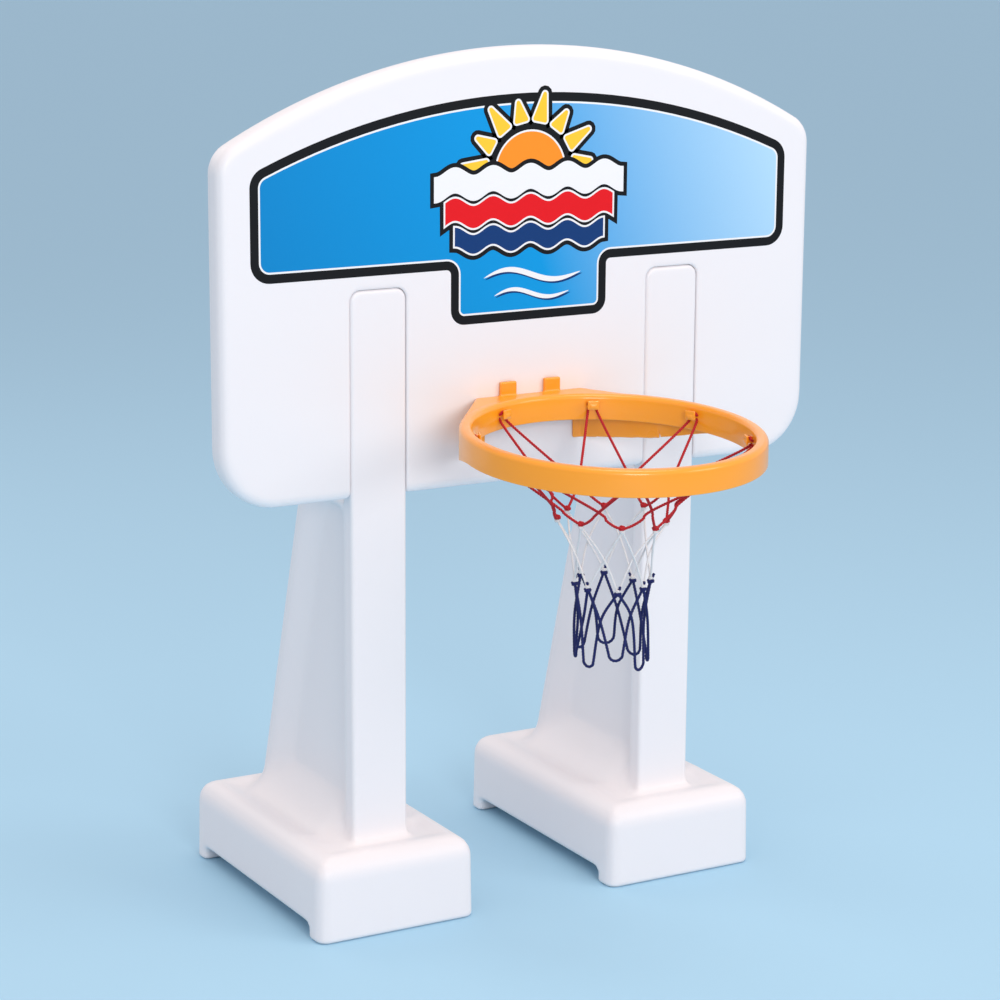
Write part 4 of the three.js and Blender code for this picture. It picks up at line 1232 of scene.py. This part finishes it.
# Fill plugs and their seals
THREAD_PITCH = 4
THREAD_HEIGHT = 0.6
THREAD_FLATNESS = 0.7
NECK_RADIUS = 13.2
NECK_WALL = 2.4
NECK_TIP = 290.7
NECK_EDGE = 0.6
FLANGE_RADIUS = 20.1
FLANGE_BACK = 305.1
FLANGE_FACE = 309
FACE_EDGE_RADIUS = 17.2
FACE_DISH_RADIUS = 16.2
FACE_DISH = 0.7
KNURLS = 36
KNURL_HEIGHT = 0.35
GRIP_HALF_LENGTH = 16.4
GRIP_HALF_THICKNESS = 2.4
GRIP_FLARE = 0.5
GRIP_SINK = 1
GRIP_REACH = 5.9
GRIP_ROUND = 1.4
HUB_RADIUS = 6
HUB_HALF_HEIGHT = 2.6
HUB_ROUND = 0.8
HUB_BLEND = 2
SEAL_INNER = 13.8
SEAL_OUTER = 19.0
SEAL_BACK = 302.4
SEAL_FACE = 304.6


def turned_at_plug(profile, segments, side, radius_change=None):
    """A profile of (radius, y) turned round a plug's axis."""
    points, quads = turned(profile, segments, radius_change)
    placed = np.stack([points[:, 0] + side * POST_CENTRE, points[:, 2], points[:, 1] + PLUG_HEIGHT], 1)
    return placed, quads


def plug_relief(angles, radius, y):
    """The thread's ridge round the neck and the knurls round the flange."""
    phase = y / THREAD_PITCH + angles / TURN
    ridge = np.maximum(np.cos(TURN * phase), 0) ** THREAD_FLATNESS
    run_in = smooth_step(y, NECK_TIP + 1, NECK_TIP + 3)
    run_out = smooth_step(-y, -FLANGE_BACK + 1, -FLANGE_BACK + 3)
    outside = (radius > NECK_RADIUS - 0.1) & (y < FLANGE_BACK - 0.5)
    knurl = KNURL_HEIGHT * np.cos(KNURLS * angles) * (radius > FLANGE_RADIUS - 0.3)
    return THREAD_HEIGHT * ridge * (run_in * run_out) * outside + knurl


def plug_profile():
    """Half of a plug's section, from the hollow of its neck round to its face."""
    inner, dish = NECK_RADIUS - NECK_WALL, FLANGE_FACE - FACE_DISH
    hollow = [(0, FLANGE_BACK), (inner, FLANGE_BACK), (inner, NECK_TIP + 0.4), (inner + 0.4, NECK_TIP)]
    tip = [(NECK_RADIUS - 0.5, NECK_TIP)]
    neck = [(NECK_RADIUS, y) for y in np.linspace(NECK_TIP + NECK_EDGE, FLANGE_BACK - NECK_EDGE, 40)]
    outer = ((FLANGE_BACK, 0.6), (FLANGE_FACE, 1.2))
    corners = [(NECK_RADIUS, FLANGE_BACK, 0.3), *((FLANGE_RADIUS, y, size) for y, size in outer)]
    face = [(FACE_EDGE_RADIUS, FLANGE_FACE), (FACE_DISH_RADIUS, dish), (0, dish)]
    return np.concatenate([hollow, tip, neck, rounded_outline(corners, 4), face])


def grip_field(x, y, z):
    """The bar that a hand turns the plug by, a little thicker at its ends, on a round hub."""
    thick = GRIP_HALF_THICKNESS + GRIP_FLARE * np.abs(x / 16) ** 2
    up, out = z - PLUG_HEIGHT, y - FLANGE_FACE
    reach = (out + GRIP_SINK, GRIP_REACH)
    bar = box_distance((x, GRIP_HALF_LENGTH), reach, (up, thick), radius=GRIP_ROUND)
    hub = box_distance((np.hypot(x, up), HUB_RADIUS), (out, HUB_HALF_HEIGHT), radius=HUB_ROUND)
    return smooth_join(bar, hub, HUB_BLEND)


def add_plugs():
    profile = plug_profile()
    grip_points, grip_quads = surface(
        grip_field,
        grid_lines(-18, 18, 0.9),
        grid_lines(FLANGE_FACE - 8, FLANGE_FACE + 6, 0.9),
        grid_lines(PLUG_HEIGHT - 8, PLUG_HEIGHT + 8, 0.8),
    )
    outer = [(SEAL_OUTER, SEAL_BACK, 1), (SEAL_OUTER, SEAL_FACE, 1)]
    ring = rounded_outline([(SEAL_INNER, SEAL_BACK, 0.8), *outer, (SEAL_INNER, SEAL_FACE, 0.8)], 5)
    for side, sign in (("left", -1), ("right", 1)):
        shapes = [
            (*turned_at_plug(profile, 144, sign, plug_relief), PLUG_PLASTIC),
            (grip_points + (sign * POST_CENTRE, 0, 0), grip_quads, PLUG_PLASTIC),
        ]
        piece_from(f"{side}_plug_body", shapes, f"{side}_plug", f"{side}_fill_plug")
        seal = [(*turned_at_plug(ring, 72, sign), SEAL_RUBBER)]
        piece_from(f"{side}_seal_ring", seal, f"{side}_seal", f"{side}_plug_seal")


# Studio
WORLD_LIGHT = (1, 0.9, 0.9, 1)
WORLD_STRENGTH = 0.76
SEEN_COLOUR = (0.55, 0.72, 0.84, 1)
LAMP_COLOUR = (1, 0.94, 0.9)
LAMP_AIM = Vector((0, 0, 0.55))
LAMPS = (
    ("key_light", (2.5, -2.9, 2.3), 1.5, 25),
    ("front_light", (-0.9, -3.6, 1.6), 1.1, 42),
    ("back_light", (-1.2, 2.6, 2.4), 1.8, 14),
    ("top_light", (0.2, -0.5, 3.2), 1.4, 21),
)
FLOOR_REACH = 60
FLOOR_COLOUR = (0.4, 0.66, 0.84)
FLOOR_ROUGHNESS = 0.8


def add_studio():
    """Soft white light from all round, a pale background where the camera looks, and four lamps."""
    world = bpy.data.worlds.new("studio")
    bpy.context.scene.world = world
    world.use_nodes = True
    tree = world.node_tree
    light = tree.nodes["Background"]
    feed(tree, light, {"Color": WORLD_LIGHT, "Strength": WORLD_STRENGTH})
    seen = add_node(tree, "ShaderNodeBackground", {"Color": SEEN_COLOUR})
    path = add_node(tree, "ShaderNodeLightPath").outputs
    glossy = maths(tree, "MAXIMUM", path["Is Camera Ray"], path["Is Glossy Ray"])
    clear = maths(tree, "MAXIMUM", glossy, path["Is Transmission Ray"])
    mix = add_node(tree, "ShaderNodeMixShader", {"Fac": clear, 1: light, 2: seen})
    feed(tree, tree.nodes["World Output"], {"Surface": mix})
    for name, place, size, power in LAMPS:
        data = bpy.data.lights.new(name, "AREA")
        data.size = size
        data.energy = power
        data.color = LAMP_COLOUR
        lamp = link(name, data)
        lamp.location = place
        lamp.rotation_euler = (LAMP_AIM - Vector(place)).to_track_quat("-Z", "Y").to_euler()


def add_floor():
    data = bpy.data.meshes.new("floor")
    corners = [(u * FLOOR_REACH, v * FLOOR_REACH, 0) for u, v in ((-1, -1), (1, -1), (1, 1), (-1, 1))]
    data.from_pydata(corners, [], [(0, 1, 2, 3)])
    data.materials.append(new_material("floor_pale", FLOOR_COLOUR, FLOOR_ROUGHNESS)[0])
    link("floor", data)


add_camera()
add_studio()
add_floor()
add_stands()
add_backboard()
add_decal()
add_rim()
add_net()
add_plugs()
bpy.context.scene.view_settings.view_transform = "Standard"
